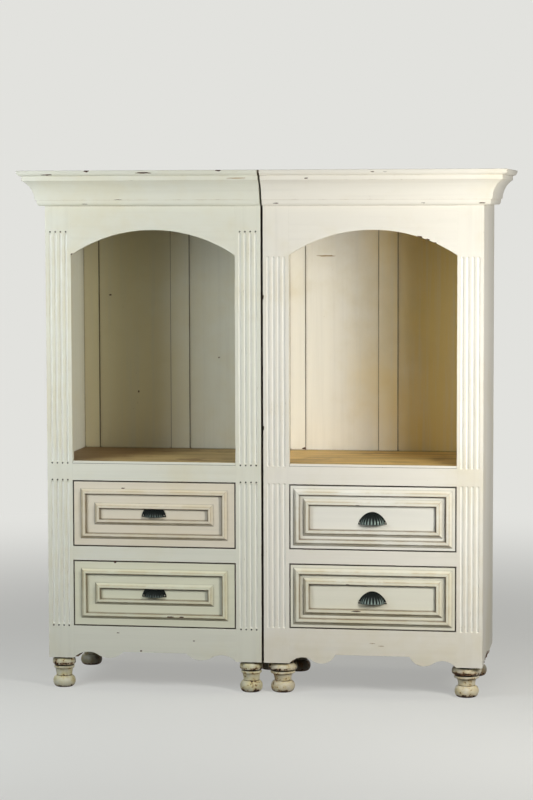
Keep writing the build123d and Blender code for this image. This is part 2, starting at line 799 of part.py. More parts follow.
def carcass(section):
    """All the fixed pieces of one section by name, in the section's frame."""
    rails = rail_heights(section)
    inner_stile, outer_stile = both_sides(stile(section))
    cornice_front, cornice_return = cornice()
    return {
        "inner_stile": inner_stile,
        "outer_stile": outer_stile,
        "arch_rail": arch_rail(section),
        "shelf_rail": plain_rail(rails["shelf_rail"]),
        "drawer_rail": plain_rail(rails["drawer_rail"]),
        "apron": apron(section),
        "inner_side": meeting_side(),
        "outer_side": outer_side(),
        "shelf": shelf(),
        "bottom_board": bottom_board(section),
        "top_board": top_board(),
        "back_frame": back_frame(),
        "back_panels": back_panels(),
        "cornice_front": cornice_front,
        "cornice_return": cornice_return,
    }


def section_bolts():
    """The bolts and their nuts, which run along X through both meeting sides."""
    reach = SECTION_GAP / 2 + SIDE_THICKNESS
    hexagon = RegularPolygon(NUT_ACROSS_FLATS / 2, 6, major_radius=False)
    head = extrude(Plane.YZ.offset(reach) * hexagon, BOLT_HEAD_HEIGHT)
    shank = along_x(2 * reach + BOLT_TAIL, BOLT_RADIUS)
    bolt = Pos(-BOLT_TAIL / 2, 0, 0) * shank + head
    nut = extrude(Plane.YZ.offset(-reach - NUT_HEIGHT) * hexagon, NUT_HEIGHT)
    nut -= along_x(4 * reach, BOLT_RADIUS + BOLT_PLAY)
    pieces = []
    for setback, height in bolt_places():
        spot = Pos(0, FRONT_Y + setback, height)
        pieces += [spot * bolt, spot * nut]
    return pieces


def section_spacers():
    """The square packing pieces that hold the two sections apart round the bolts."""
    packing = Box(SECTION_GAP, SPACER_SIZE, SPACER_SIZE) - along_x(2 * SECTION_GAP, BOLT_RADIUS + BOLT_PLAY)
    return [Pos(0, FRONT_Y + setback, height) * packing for setback, height in bolt_places()]


def place(section, shape):
    """Move a piece, or each piece of a group, from its section's frame into the armoire's."""
    if isinstance(shape, list):
        return [place(section, piece) for piece in shape]
    moved = Pos(SECTION_GAP / 2, FRONT_Y, 0) * shape
    return mirror(moved, about=Plane.YZ) if section.mirrored else moved


def armoire():
    """Every piece of the armoire by name."""
    pieces = {
        "section_bolts": section_bolts(),
        "section_spacers": section_spacers(),
        "feet": [],
        "foot_blocks": [],
        "drawer_guides": [],
    }
    for section in (LEFT, RIGHT):
        pieces["feet"] += place(section, feet(section))
        pieces["foot_blocks"] += place(section, foot_blocks(section))
        pieces["drawer_guides"] += place(section, drawer_guides(section))
        for name, shape in carcass(section).items():
            pieces[f"{section.name}_{name}"] = place(section, shape)
        for level in section.drawers:
            for name, shape in drawer(section, level).items():
                pieces[f"{section.name}_{level}_drawer_{name}"] = place(section, shape)
    return pieces


def write(name, shape):
    """Write one piece, or a group of like pieces, as its own STEP file."""
    group = shape if isinstance(shape, list) else [shape]
    solids = [solid for piece in group for solid in piece.solids()]
    export_step(solids[0] if len(solids) == 1 else Compound(solids), f"parts/{name}.step")


os.makedirs("parts", exist_ok=True)
for piece_name, piece_shape in armoire().items():
    write(piece_name, piece_shape)
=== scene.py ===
import json
import math

import bmesh
import bpy
from bpy.props import FloatProperty, FloatVectorProperty, IntProperty, PointerProperty
from bpy.types import Operator, Panel, PropertyGroup
from mathutils import Matrix, Vector, noise

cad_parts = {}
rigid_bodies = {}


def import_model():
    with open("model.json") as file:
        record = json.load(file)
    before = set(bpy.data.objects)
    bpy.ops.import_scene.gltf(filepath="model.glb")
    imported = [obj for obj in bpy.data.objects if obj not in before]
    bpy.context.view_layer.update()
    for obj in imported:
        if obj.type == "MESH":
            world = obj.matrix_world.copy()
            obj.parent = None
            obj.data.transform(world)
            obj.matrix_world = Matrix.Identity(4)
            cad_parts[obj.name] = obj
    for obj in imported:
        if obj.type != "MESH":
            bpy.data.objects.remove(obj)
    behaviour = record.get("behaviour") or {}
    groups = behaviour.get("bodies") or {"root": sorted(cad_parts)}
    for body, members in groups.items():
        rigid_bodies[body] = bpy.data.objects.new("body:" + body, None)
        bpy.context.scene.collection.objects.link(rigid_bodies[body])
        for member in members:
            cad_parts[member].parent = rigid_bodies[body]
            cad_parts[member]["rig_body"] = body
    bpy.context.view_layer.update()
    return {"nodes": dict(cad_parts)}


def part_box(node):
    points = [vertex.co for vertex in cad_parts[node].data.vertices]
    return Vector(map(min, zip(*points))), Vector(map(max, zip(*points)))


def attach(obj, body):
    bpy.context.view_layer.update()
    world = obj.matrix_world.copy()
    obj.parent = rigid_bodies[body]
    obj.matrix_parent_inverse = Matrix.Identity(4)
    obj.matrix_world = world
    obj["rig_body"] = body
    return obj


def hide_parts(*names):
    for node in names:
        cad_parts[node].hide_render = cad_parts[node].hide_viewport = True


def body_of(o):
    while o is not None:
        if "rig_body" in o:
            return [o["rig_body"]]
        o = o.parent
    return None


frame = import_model()

bl_info = {
    "name": "Painted armoire",
    "version": (1, 0, 0),
    "blender": (4, 5, 0),
    "location": "3D View > Sidebar > Armoire",
    "description": "Dresses the two sections of the armoire in worn paint, turned feet and cast pulls",
    "category": "Object",
}

SIDES = ("left", "right")
WAYS = {"left": -1, "right": 1}
LEVELS = ("lower", "upper")
MILLIMETRE = 0.001

# Which way the brush and the grain run: how much finer the streaks are across each axis than along it.
UPRIGHT = (55.0, 55.0, 1.6)
LEVEL = (1.6, 55.0, 55.0)
DEEP = (55.0, 1.6, 55.0)

# The front plane of the face frames, the edges of a section's openings, and where the two sections meet.
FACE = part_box("left_inner_stile")[0].y
OPENING = (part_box("right_inner_stile")[1].x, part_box("right_outer_stile")[0].x)
OPENING_MIDDLE = (OPENING[0] + OPENING[1]) / 2
OPENING_HALF = (OPENING[1] - OPENING[0]) / 2
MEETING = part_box("right_inner_stile")[0].x
SHELF_RAIL_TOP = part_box("right_shelf_rail")[1].z

# From the armoire's middle: the middles of the stiles, and where the stiles of the backs meet their panels.
STILE_MIDDLES = (0.049, 0.719)
BACK_JOINTS = (0.081, 0.349, 0.419, 0.687)

# Depth of the small hole at a flute's end, and the room that it takes from the flute, by the hole's radius.
HOLE_DEPTH = 1.5
HOLE_ROOM = 2.4

# Just behind the faces that the backs turn to the niches.
BACK_INNER = 0.284

# Heights of the turned foot's parts, from the floor.
BELLY_MIDDLE = 0.0202
RING_FOOT = 0.0668
RING_TOP = 0.0756
GROOVE = 0.0785
PAD_FOOT = 0.0802
PAD_TOP = 0.1070

PAINT_IOR = 1.46

# How much of its red, green and blue the paint of the feet keeps where it has yellowed.
YELLOWING = (0.86, 0.76, 0.45)

# How much of its brightness the paint of the rear feet keeps: a painted shade for the feet under the back of
# the case.
REAR_FEET_SHADE = 0.4

# How much of the dark stain each shelf has, partly painted shade toward its outer side and back, and how far
# the slots of a pull's two screws are turned.
SHELF_STAINS_AND_SHADE = {"left": 1.0, "right": 0.3}
SLOT_TURNS = (0.5, -0.8)

# Radius of the sole and of the pinch above the foot's belly, as a share of the belly's.
PINCH = 0.64

# Knocked places by the piece they are in: the middle of each, then its width, depth and height, in metres.
CHIPS = {
    "left_cornice_front_run": (
        (-0.737, -0.291, 1.8060, 0.036, 0.008, 0.0050),
        (-0.597, -0.296, 1.8200, 0.018, 0.014, 0.0120),
        (-0.398, -0.293, 1.8110, 0.054, 0.009, 0.0060),
        (-0.136, -0.296, 1.8200, 0.022, 0.014, 0.0110),
        (-0.616, -0.238, 1.7045, 0.030, 0.005, 0.0030),
        (-0.498, -0.244, 1.7190, 0.026, 0.005, 0.0030),
    ),
    "right_cornice_front_run": (
        (0.054, -0.238, 1.7060, 0.020, 0.005, 0.0035),
        (0.164, -0.280, 1.7910, 0.014, 0.005, 0.0035),
        (0.391, -0.293, 1.8120, 0.022, 0.006, 0.0040),
        (0.435, -0.293, 1.8115, 0.018, 0.005, 0.0030),
        (0.558, -0.238, 1.7060, 0.018, 0.004, 0.0025),
        (0.758, -0.238, 1.7050, 0.026, 0.006, 0.0040),
    ),
    "right_arch_rail": (
        (0.545, -0.214, 1.5900, 0.022, 0.012, 0.0070),
        (0.570, -0.214, 1.5805, 0.018, 0.014, 0.0080),
        (0.597, -0.214, 1.5695, 0.012, 0.010, 0.0060),
    ),
    "left_arch_rail": ((-0.671, -0.214, 1.5280, 0.008, 0.010, 0.0140),),
    "right_inner_stile_fluted": (
        (0.004, -0.214, 1.3840, 0.006, 0.010, 0.0150),
        (0.004, -0.214, 0.9310, 0.006, 0.010, 0.0170),
    ),
    "right_outer_side": (
        (0.764, -0.128, 0.1100, 0.016, 0.040, 0.0220),
        (0.764, -0.080, 0.1100, 0.020, 0.060, 0.0360),
        (0.764, -0.020, 0.1100, 0.022, 0.056, 0.0420),
        (0.764, 0.032, 0.1100, 0.018, 0.044, 0.0320),
        (0.764, 0.080, 0.1100, 0.014, 0.036, 0.0200),
    ),
    "left_lower_drawer_front": ((-0.524, -0.214, 0.4550, 0.010, 0.014, 0.0150),),
    "left_upper_drawer_front": ((-0.493, -0.214, 0.7140, 0.014, 0.003, 0.0035),),
    "left_lower_drawer_mouldings_run": (
        (-0.326, -0.224, 0.2645, 0.026, 0.006, 0.0045),
        (-0.285, -0.224, 0.2645, 0.016, 0.006, 0.0045),
    ),
    "right_upper_drawer_mouldings_run": ((0.333, -0.224, 0.6680, 0.016, 0.005, 0.0035),),
    "right_lower_drawer_mouldings_run": (
        (0.300, -0.224, 0.3920, 0.014, 0.005, 0.0040),
        (0.328, -0.224, 0.3000, 0.036, 0.005, 0.0040),
    ),
    "left_apron": (
        (-0.433, -0.214, 0.1400, 0.010, 0.003, 0.0045),
        (-0.515, -0.214, 0.2020, 0.010, 0.003, 0.0030),
        (-0.244, -0.214, 0.1800, 0.008, 0.003, 0.0035),
    ),
    "left_back_panels": (
        (-0.541, 0.282, 1.0157, 0.007, 0.003, 0.0070),
        (-0.645, 0.282, 1.3710, 0.010, 0.003, 0.0050),
        (-0.240, 0.282, 1.1428, 0.006, 0.003, 0.0050),
    ),
    "right_back_frame": ((0.079, 0.278, 0.8130, 0.022, 0.004, 0.0080),),
}
SCRATCHES = {
    "right_apron": (
        (0.385, -0.214, 0.1870, 0.018, 0.002, 0.0018),
        (0.415, -0.214, 0.1785, 0.020, 0.002, 0.0018),
    ),
    "right_back_panels": ((0.157, 0.282, 1.5150, 0.066, 0.002, 0.0050),),
    "left_cornice_front_run": ((-0.077, -0.280, 1.7920, 0.070, 0.003, 0.0025),),
}

# Place, aim, width and height, and tint of each soft box.
COOL, WARM, SUNNY = (0.90, 0.955, 1.0), (1.0, 0.985, 0.95), (1.0, 0.98, 0.94)
SOFT_BOXES = {
    "left": ((-1.75, -1.60, 1.50), (-0.3, -0.2, 1.1), (1.0, 1.2), COOL),
    "right": ((2.32, -2.02, 1.55), (0.2, -0.2, 1.1), (0.45, 0.8), WARM),
    "near": ((1.35, -1.38, 1.32), (0.2, 0.0, 1.1), (0.35, 0.5), WARM),
    "front": ((0.2, -5.5, 3.4), (0.0, 0.0, 0.8), (3.0, 2.0), SUNNY),
    "rear": ((-1.6, 2.9, 2.3), (0.0, 0.3, 1.0), (1.8, 1.4), WARM),
}

# Width of the camera's frame, in millimetres.
FRAME_WIDTH = 36.0


def length(label, default, description):
    """A size that a user may change, in metres."""
    return FloatProperty(name=label, description=description, default=default, precision=4, unit="LENGTH")


def span(label, default, description):
    """A low and a high end that a user may change, in metres."""
    return FloatVectorProperty(name=label, description=description, default=default, size=2, unit="LENGTH")


def fraction(label, default, description):
    """A share from 0 to 1 that a user may change."""
    return FloatProperty(
        name=label, description=description, default=default, min=0.0, max=1.0, subtype="FACTOR"
    )


def angle(label, degrees, description):
    """An angle that a user may change, given in degrees."""
    return FloatProperty(name=label, description=description, default=math.radians(degrees), subtype="ANGLE")


def power(label, default, description):
    """The power of a lamp, in watts."""
    return FloatProperty(name=label, description=description, default=default, subtype="POWER")


def colour(label, default, description):
    """A colour that a user may change, given as it looks on a screen and kept as linear light."""
    return FloatVectorProperty(
        name=label,
        description=description,
        default=screen_colour(*default),
        size=3,
        min=0.0,
        max=1.0,
        subtype="COLOR",
    )


def screen_colour(*levels):
    """Linear light of a colour read from a screen, from 0 to 255."""
    shares = [level / 255 for level in levels]
    return tuple(s / 12.92 if s <= 0.04045 else ((s + 0.055) / 1.055) ** 2.4 for s in shares)


class ArmoirePaint(PropertyGroup):
    """Colours of the painted surfaces and how far they are worn."""

    left_cream: colour("Left cream", (226, 225, 209), "Paint of the left section")
    right_cream: colour("Right cream", (235, 230, 217), "Paint of the right section")
    # Flute white is a painted highlight: whiter paint in the hollows of the flutes.
    flute_highlight: colour("Flute white", (250, 250, 243), "Cleaner paint in the hollows of the flutes")
    left_niche: colour("Left niche", (226, 225, 209), "Paint of the left niche's back and inner wall")
    # The right niche's paint is lighter than the right cream: a painted light for the shaded niche.
    right_niche: colour("Right niche", (246, 243, 232), "Paint of the right niche's back and inner wall")
    # The inside colours are partly yellowed paint, partly painted shade with the shelf's warm bounce, at the
    # niche's outer end.
    left_inside: colour("Left inside", (224, 214, 176), "Aged paint at the left niche's outer end")
    right_inside: colour("Right inside", (240, 214, 142), "Aged paint at the right niche's outer end")
    left_upper_front: colour("Left upper drawer", (226, 217, 197), "Paint of the upper drawer at the left")
    left_lower_front: colour("Left lower drawer", (224, 223, 199), "Paint of the lower drawer at the left")
    right_upper_front: colour("Right upper drawer", (237, 234, 222), "Paint of the upper drawer at the right")
    right_lower_front: colour("Right lower drawer", (234, 231, 213), "Paint of the lower drawer at the right")
    aged: colour("Aged paint", (214, 199, 150), "Yellowed patches of the paint")
    # Glaze is also the painted shade in corners and on the drawer mouldings' sides turned from the light.
    glaze_and_shade: colour("Glaze", (116, 96, 58), "Brown wax that is left in corners and grooves")
    # Deep wax is also painted shadow: in the gaps round the drawers, under the moulding ridges, in the flute
    # holes and along the shelves' back edges.
    deep_wax_and_shade: colour("Deep wax", (38, 25, 9), "Darkest wax, along the steps of the mouldings")
    raw: colour("Raw edges", (84, 64, 42), "Unpainted wood in the gaps round the drawers")
    rubbed: colour("Rubbed edge", (186, 158, 112), "Undercoat where an edge is rubbed")
    bare: colour("Bare wood", (72, 44, 28), "Dark wood where the paint is broken away")
    rust: colour("Reddish wood", (150, 102, 52), "Reddish wood at the worn feet")
    # The glaze reach is also how far the painted corner shade spreads.
    glaze_and_shade_reach: length("Glaze reach", 0.009, "How far the dark wax spreads out of a corner")
    edge_width: length("Rubbed width", 0.0022, "Width of the rubbed band along an edge")


class ArmoireWood(PropertyGroup):
    """Colours of the bare wood."""

    left_shelf: colour("Left shelf", (204, 178, 122), "Bare top of the left shelf")
    right_shelf: colour("Right shelf", (236, 200, 122), "Bare top of the right shelf")
    shelf_stain: colour("Shelf stain", (112, 76, 40), "Dark grain and stains of the shelves")
    drawer: colour("Drawer wood", (196, 164, 116), "Sides and bottoms of the drawers")
    drawer_grain: colour("Drawer grain", (146, 106, 64), "Dark grain of the drawers")
    inner: colour("Inner wood", (150, 122, 86), "Runners, blocks and dust boards")
    inner_grain: colour("Inner grain", (98, 72, 46), "Dark grain of the runners and blocks")


class ArmoireMetal(PropertyGroup):
    """Colours of the pulls, screws and bolts."""

    iron: colour("Iron", (20, 25, 23), "Blackened iron of the pulls")
    # Rubbed iron is also the painted highlight on the pulls' ribs.
    rubbed_iron_highlight: colour("Rubbed iron", (146, 162, 154), "Ribs of the pulls rubbed bright")
    screw: colour("Screw steel", (150, 146, 134), "Dulled heads of the pull screws")
    bolt: colour("Bolt steel", (122, 120, 116), "Zinc grey of the section bolts")


class ArmoireShape(PropertyGroup):
    """Sizes shared by both sections."""

    soft_edge: length("Soft edge", 0.0009, "Rounding of sawn edges under the paint")
    flute_count: IntProperty(name="Flutes", description="Flutes on a stile", default=4, min=1)
    flute_pitch: length("Flute pitch", 0.0185, "Spacing of the flutes")
    flute_width: length("Flute width", 0.0105, "Width of a flute at the face")
    flute_depth: length("Flute depth", 0.0046, "Depth of a flute")
    pull_wall: length("Pull wall", 0.0022, "Thickness of the cast shell")
    pull_plate: length("Pull plate", 0.002, "Thickness of the pull's plate")
    pull_ribs: IntProperty(name="Pull ribs", description="Ribs of a pull", default=11, min=3)
    pull_bulge: length("Rib bulge", 0.0017, "How far a rib swells out of the shell")
    screw_head: length("Screw head", 0.0029, "Radius of a pull screw's head")
    mitre_gap: length("Mitre gap", 0.0003, "Opened joint at each corner of the drawer mouldings")
    joint_edge: length("Joint edge", 0.0003, "Rounding where the rails meet the stiles")


# Sizes of each section's own patterns: label, left value, right value, description.
SECTION_FLUTES = {
    "lower_flutes": ("Lower flutes", (0.222, 0.744), (0.232, 0.739), "Foot and head of those by the drawers"),
    "upper_flutes": ("Upper flutes", (0.797, 1.612), (0.796, 1.524), "Foot and head of those by the niche"),
}
SECTION_SIZES = {
    "flute_hole": ("Flute hole", 0.0030, 0.0, "Radius of the hole that the cutter left at a flute's ends"),
    "foot_inset": ("Foot inset", 0.0435, 0.058, "From a foot's centre to the edges of the section"),
    "belly": ("Foot belly", 0.0395, 0.042, "Radius of the foot's round belly"),
    "neck": ("Foot neck", 0.0278, 0.0295, "Radius of the foot's neck"),
    "flare": ("Foot flare", 0.0312, 0.0340, "Radius of the neck under its ring"),
    "ring": ("Foot ring", 0.036, 0.0435, "Radius of the foot's ring"),
    "pad": ("Foot pad", 0.0405, 0.0515, "Radius of the foot's top pad"),
    "moulding_border": ("Moulding border", 0.027, 0.013, "From the drawer front's edge to its moulding"),
    "moulding_width": ("Moulding width", 0.018, 0.021, "Width of the drawer moulding"),
    "moulding_spacing": ("Moulding spacing", 0.032, 0.013, "Field between the two rectangles of moulding"),
    "shell_width": ("Pull shell width", 0.062, 0.081, "Width of the pull's shell"),
    "shell_height": ("Pull shell height", 0.0235, 0.0365, "Height of the pull's shell"),
    "plate_height": ("Pull plate height", 0.050, 0.043, "Height of the pull's plate before it is cut level"),
}
# Rib shine scales the rubbed iron and the painted highlight on the pulls' ribs.
SECTION_SHINE = {"rib_shine": ("Rib shine", 0.82, 1.0, "How bright the ribs of the pulls are rubbed")}


def section_group(name, column):
    """A PropertyGroup with one section's column of these sizes."""
    fields = {}
    for make, rows in ((span, SECTION_FLUTES), (length, SECTION_SIZES), (fraction, SECTION_SHINE)):
        for key, (label, left, right, description) in rows.items():
            fields[key] = make(label, (left, right)[column], description)
    parts = {"__annotations__": fields, "__doc__": "Sizes of one section's own patterns."}
    return type(name, (PropertyGroup,), parts)


LeftSection = section_group("LeftSection", 0)
RightSection = section_group("RightSection", 1)


class ArmoireStage(PropertyGroup):
    """Camera, floor and light."""

    camera_place: FloatVectorProperty(
        name="Camera place",
        description="Where the camera stands",
        default=(1.3683, -8.6495, 1.7129),
        size=3,
        subtype="TRANSLATION",
        unit="LENGTH",
    )
    camera_turn: angle("Camera turn", 9.11, "How far the camera looks to the left")
    camera_tilt: angle("Camera tilt", 4.58, "How far the camera looks down")
    camera_roll: angle("Camera roll", -0.16, "How far the camera leans")
    camera_lens: FloatProperty(
        name="Camera lens",
        description="Focal length on a 36 mm frame",
        default=111.63,
        subtype="DISTANCE_CAMERA",
    )
    floor: colour("Floor", (226, 226, 222), "Floor and backdrop")
    left_light: power("Left light", 28.5, "Soft box at the left")
    right_light: power("Right light", 38.0, "Soft box at the right")
    near_light: power("Near light", 12.0, "Small soft box close by at the right")
    front_light: power("Front light", 8.0, "Wide soft box in front")
    rear_light: power("Rear light", 48.0, "Soft box behind, for the armoire alone")
    room_light: fraction("Room light", 0.05, "Light from all round")
    paper: fraction("Background light", 0.5, "Share of the floor by the armoire that shows as plain paper")


class Shade:
    """One socket of a finish. Arithmetic on it adds Math nodes."""

    def __init__(self, finish, socket):
        self.finish = finish
        self.socket = socket

    def maths(self, operation, *values):
        return self.finish.node("ShaderNodeMath", {"operation": operation}, dict(enumerate(values)))

    def __add__(self, other):
        return self.maths("ADD", self, other)

    def __radd__(self, other):
        return self.maths("ADD", other, self)

    def __sub__(self, other):
        return self.maths("SUBTRACT", self, other)

    def __rsub__(self, other):
        return self.maths("SUBTRACT", other, self)

    def __mul__(self, other):
        return self.maths("MULTIPLY", self, other)

    def __rmul__(self, other):
        return self.maths("MULTIPLY", other, self)

    def __mod__(self, other):
        return self.maths("FLOORED_MODULO", self, other)

    def __abs__(self):
        return self.maths("ABSOLUTE", self)

    def least(self, other):
        """The smaller of two shades."""
        return self.maths("MINIMUM", self, other)

    def most(self, other):
        """The larger of two shades."""
        return self.maths("MAXIMUM", self, other)


class Finish:
    """The nodes of a material or of the world, built up from shades."""

    def __init__(self, owner):
        self.owner = owner
        owner.use_nodes = True
        self.tree = owner.node_tree
        self.tree.nodes.clear()

    def node(self, kind, settings=None, inputs=None, output=0):
        """Add a node: its settings first, then its sockets. Gives one of its outputs."""
        made = self.tree.nodes.new(kind)
        for name, value in (settings or {}).items():
            setattr(made, name, value)
        for key, value in (inputs or {}).items():
            socket = pick(made.inputs, key)
            if isinstance(value, Shade):
                self.tree.links.new(value.socket, socket)
            else:
                socket.default_value = value
        return Shade(self, pick(made.outputs, output)) if made.outputs else made

    def place(self):
        """Position on the piece at rest, in metres."""
        return self.node("ShaderNodeTexCoord", output="Object")

    def axis(self, vector, name):
        """One coordinate of a vector."""
        return self.node("ShaderNodeSeparateXYZ", None, {"Vector": vector}, output=name)

    def stretched(self, vector, scale):
        """A vector scaled by its own amount along each axis."""
        return self.node("ShaderNodeVectorMath", {"operation": "MULTIPLY"}, {0: vector, 1: scale})

    def grain(self, vector, scale, detail, roughness=0.55, distortion=0.0):
        """Noise from 0 to 1."""
        sockets = {
            "Vector": vector,
            "Scale": scale,
            "Detail": detail,
            "Roughness": roughness,
            "Distortion": distortion,
        }
        return self.node("ShaderNodeTexNoise", None, sockets, output="Fac")

    def rise(self, value, low, high):
        """0 below the low value, 1 above the high one, smooth between."""
        sockets = {"Value": value, "From Min": low, "From Max": high}
        return self.node("ShaderNodeMapRange", {"interpolation_type": "SMOOTHSTEP"}, sockets)

    def band(self, value, middle, half, soft):
        """1 within half a width of a middle value, 0 further off, smooth between."""
        return 1 - self.rise(abs(value - middle), half, half + soft)

    def bands(self, value, middles, half, soft):
        """1 within half a width of any of the middle values."""
        found, *others = [self.band(value, middle, half, soft) for middle in middles]
        for other in others:
            found = found.most(other)
        return found

    def layer(self, mask, under, over):
        """A colour laid over another where the mask is 1."""
        sockets = {"Factor": mask, "A": as_colour(under), "B": as_colour(over)}
        return self.node("ShaderNodeMix", {"data_type": "RGBA"}, sockets, output="Result")

    def layers(self, tone, *coats):
        """A colour under several others, each laid over it by its own mask."""
        for mask, tint in coats:
            tone = self.layer(mask, tone, tint)
        return tone

    def corners(self, reach):
        """1 deep in corners and grooves, 0 on open faces."""
        settings = {"samples": 8, "only_local": False}
        open_sky = self.node("ShaderNodeAmbientOcclusion", settings, {"Distance": reach}, output="AO")
        return 1 - open_sky

    def edges(self, width):
        """1 on edges, 0 on flat faces."""
        rounded = self.node("ShaderNodeBevel", {"samples": 6}, {"Radius": width})
        true = self.node("ShaderNodeNewGeometry", output="Normal")
        product = {"operation": "DOT_PRODUCT"}
        alike = self.node("ShaderNodeVectorMath", product, {0: rounded, 1: true}, output="Value")
        return self.rise(1 - alike, 0.02, 0.2)

    def seen(self):
        """1 where the camera looks, straight or by way of a mirror or glass, 0 for the light that falls."""
        kinds = ("Camera", "Glossy", "Transmission")
        camera, mirror, glass = (self.node("ShaderNodeLightPath", output=f"Is {kind} Ray") for kind in kinds)
        return camera.most(mirror).most(glass)

    def relief(self, height, depth, strength):
        """A bumped normal from a height."""
        return self.node("ShaderNodeBump", None, {"Height": height, "Distance": depth, "Strength": strength})

    def surface(self, **sockets):
        """The finished surface, with sockets named as in the shader but with underscores."""
        named = {key.replace("_", " ").title().replace("Ior", "IOR"): value for key, value in sockets.items()}
        shader = self.node("ShaderNodeBsdfPrincipled", None, named)
        self.node("ShaderNodeOutputMaterial", None, {"Surface": shader})
        return self.owner


def pick(sockets, key):
    """A socket by its number, or by its name among those in use."""
    if isinstance(key, int):
        return [socket for socket in sockets if socket.enabled][key]
    return next(socket for socket in sockets if socket.enabled and socket.name == key)


def as_colour(value):
    """A colour with its alpha, or the shade as it is."""
    return value if isinstance(value, Shade) else (*value[:3], 1.0)


def new_finish(name):
    """The finish of a new material, and the place on it."""
    finish = Finish(bpy.data.materials.new(name))
    return finish, finish.place()


def scaled(tint, amount):
    """A colour with its light scaled."""
    return tuple(amount * level for level in tint)


def worn_paint(name, cream, streaks, wear=0.5, dirt=1.0, base=None, lines=None, spared=None, raw=None):
    """Brushed cream paint: a little yellowed, waxed in the corners, rubbed on the edges.

    base, lines, spared and raw each take the finish and the place on it. They give the colour of the paint,
    masks and colours of drawn lines, the edges that are rubbed at all, and the wood that was never painted.
    """
    paint = bpy.context.scene.armoire_paint
    finish, place = new_finish(name)
    brush = finish.grain(finish.stretched(place, streaks), 1.0, 5.0, 0.6)
    cloud = finish.grain(place, 2.4, 3.0)
    mottle = finish.grain(place, 17.0, 5.0, 0.6)
    fleck = finish.grain(place, 130.0, 3.0, 0.6)
    corner = finish.corners(paint.glaze_and_shade_reach)
    edge = finish.edges(paint.edge_width)
    if spared:
        edge = edge * spared(finish, place)
    # Wax in the corners, deepened where the occlusion is deep: partly real wax, partly painted shade.
    waxed_and_shaded = finish.rise(corner * (0.7 + mottle * 0.6), 0.22, 0.75) * (0.85 * dirt)
    rubbed = edge * finish.rise(mottle + cloud * 0.5, 0.92 - 0.4 * wear, 1.06 - 0.4 * wear)
    broken = edge * finish.rise(fleck * 0.5 + mottle, 1.02 - 0.25 * wear, 1.08 - 0.25 * wear)
    tone = finish.layers(
        base(finish, place) if base else cream,
        (finish.rise(brush, 0.42, 0.75) * 0.3, scaled(cream, 0.84)),
        (finish.rise(cloud + mottle * 0.35, 0.62, 0.95) * 0.3, paint.aged),
        (waxed_and_shaded, paint.glaze_and_shade),
        *(lines(finish, place) if lines else ()),
        (rubbed * 0.6, paint.rubbed),
        (broken, paint.bare),
        (finish.rise(fleck + mottle * 0.4, 0.98, 1.02) * 0.5, paint.glaze_and_shade),
        *([(raw(finish, place), paint.raw)] if raw else ()),
    )
    height = brush * 0.6 + mottle * 0.3 + fleck * 0.1 - broken * 0.8
    return finish.surface(
        base_color=tone,
        roughness=0.46 + mottle * 0.16 + waxed_and_shaded * 0.2,
        normal=finish.relief(height, 0.0006, 0.5),
        ior=PAINT_IOR,
    )


def from_opening(finish, place):
    """Distance across the front from the middle of the section's openings."""
    return abs(abs(finish.axis(place, "X")) - OPENING_MIDDLE)


def behind_face(finish, place):
    """1 behind the front plane, where a front or a frame turns its edges into a gap."""
    return finish.rise(finish.axis(place, "Y") - FACE, 0.0010, 0.0018)


def between_sections(finish, place):
    """1 on the faces that the two sections turn to each other."""
    away = finish.rise(abs(finish.axis(place, "X")), MEETING + 0.0002, MEETING + 0.0008)
    return behind_face(finish, place) * (1 - away)


def off_tenons(finish, place):
    """1 on a rail between the stiles, 0 at the shoulders of its tenons."""
    return 1 - finish.rise(from_opening(finish, place), OPENING_HALF - 0.006, OPENING_HALF - 0.004)


def off_rails(finish, place):
    """1 on a stile's outer edge, 0 along the edge where the rails join it."""
    return finish.rise(from_opening(finish, place), OPENING_HALF + 0.006, OPENING_HALF + 0.010)


def drawer_gap(finish, place):
    """1 on the faces of a stile beside the drawers and between the sections."""
    low = 1 - finish.rise(finish.axis(place, "Z"), SHELF_RAIL_TOP - 0.055, SHELF_RAIL_TOP - 0.050)
    inward = 1 - finish.rise(from_opening(finish, place), OPENING_HALF + 0.0004, OPENING_HALF + 0.0010)
    return (behind_face(finish, place) * low * inward).most(between_sections(finish, place))


def flute_tones(sizes):
    """Cleaner paint in the hollows of a section's flutes, and dark wax in the small holes at their ends."""
    paint = bpy.context.scene.armoire_paint
    wax = scaled(paint.deep_wax_and_shade, 0.3)
    shape = bpy.context.scene.armoire_shape
    field = ((shape.flute_count - 1) * shape.flute_pitch + shape.flute_width) / 2
    hole = sizes.flute_hole
    holes = [z for foot, head in (sizes.lower_flutes, sizes.upper_flutes) for z in (foot + hole, head - hole)]

    def lines(finish, place):
        high, depth = finish.axis(place, "Z"), finish.axis(place, "Y") - FACE
        across = abs(finish.axis(place, "X"))
        fluted = finish.bands(across, STILE_MIDDLES, field, 0.002)
        # Painted highlight: whiter paint in the flute hollows.
        flute_highlight_mask = fluted * finish.rise(depth, 0.0010, 0.0034) * 0.6
        if hole == 0:
            return ((flute_highlight_mask, paint.flute_highlight),)
        # Dark wax in the holes at the flute ends, partly painted shade.
        waxed_and_shaded = fluted * finish.bands(high, holes, hole, 0.0004) * finish.rise(depth, 0.0004, 0.0010)
        return (flute_highlight_mask, paint.flute_highlight), (waxed_and_shaded, wax)

    return lines


def aged_and_shaded_toward_outside(cream, aged):
    """Paint that has gone yellower in a niche the further it is from where the sections meet."""

    def colour_at(finish, place):
        across = abs(finish.axis(place, "X"))
        uneven = finish.grain(place, 3.0, 4.0) - 0.5
        within = 1 - finish.rise(finish.axis(place, "Y"), BACK_INNER, BACK_INNER + 0.002)
        return finish.layer(within * finish.rise(across + uneven * 0.3, 0.22, 0.52), cream, aged)

    return colour_at


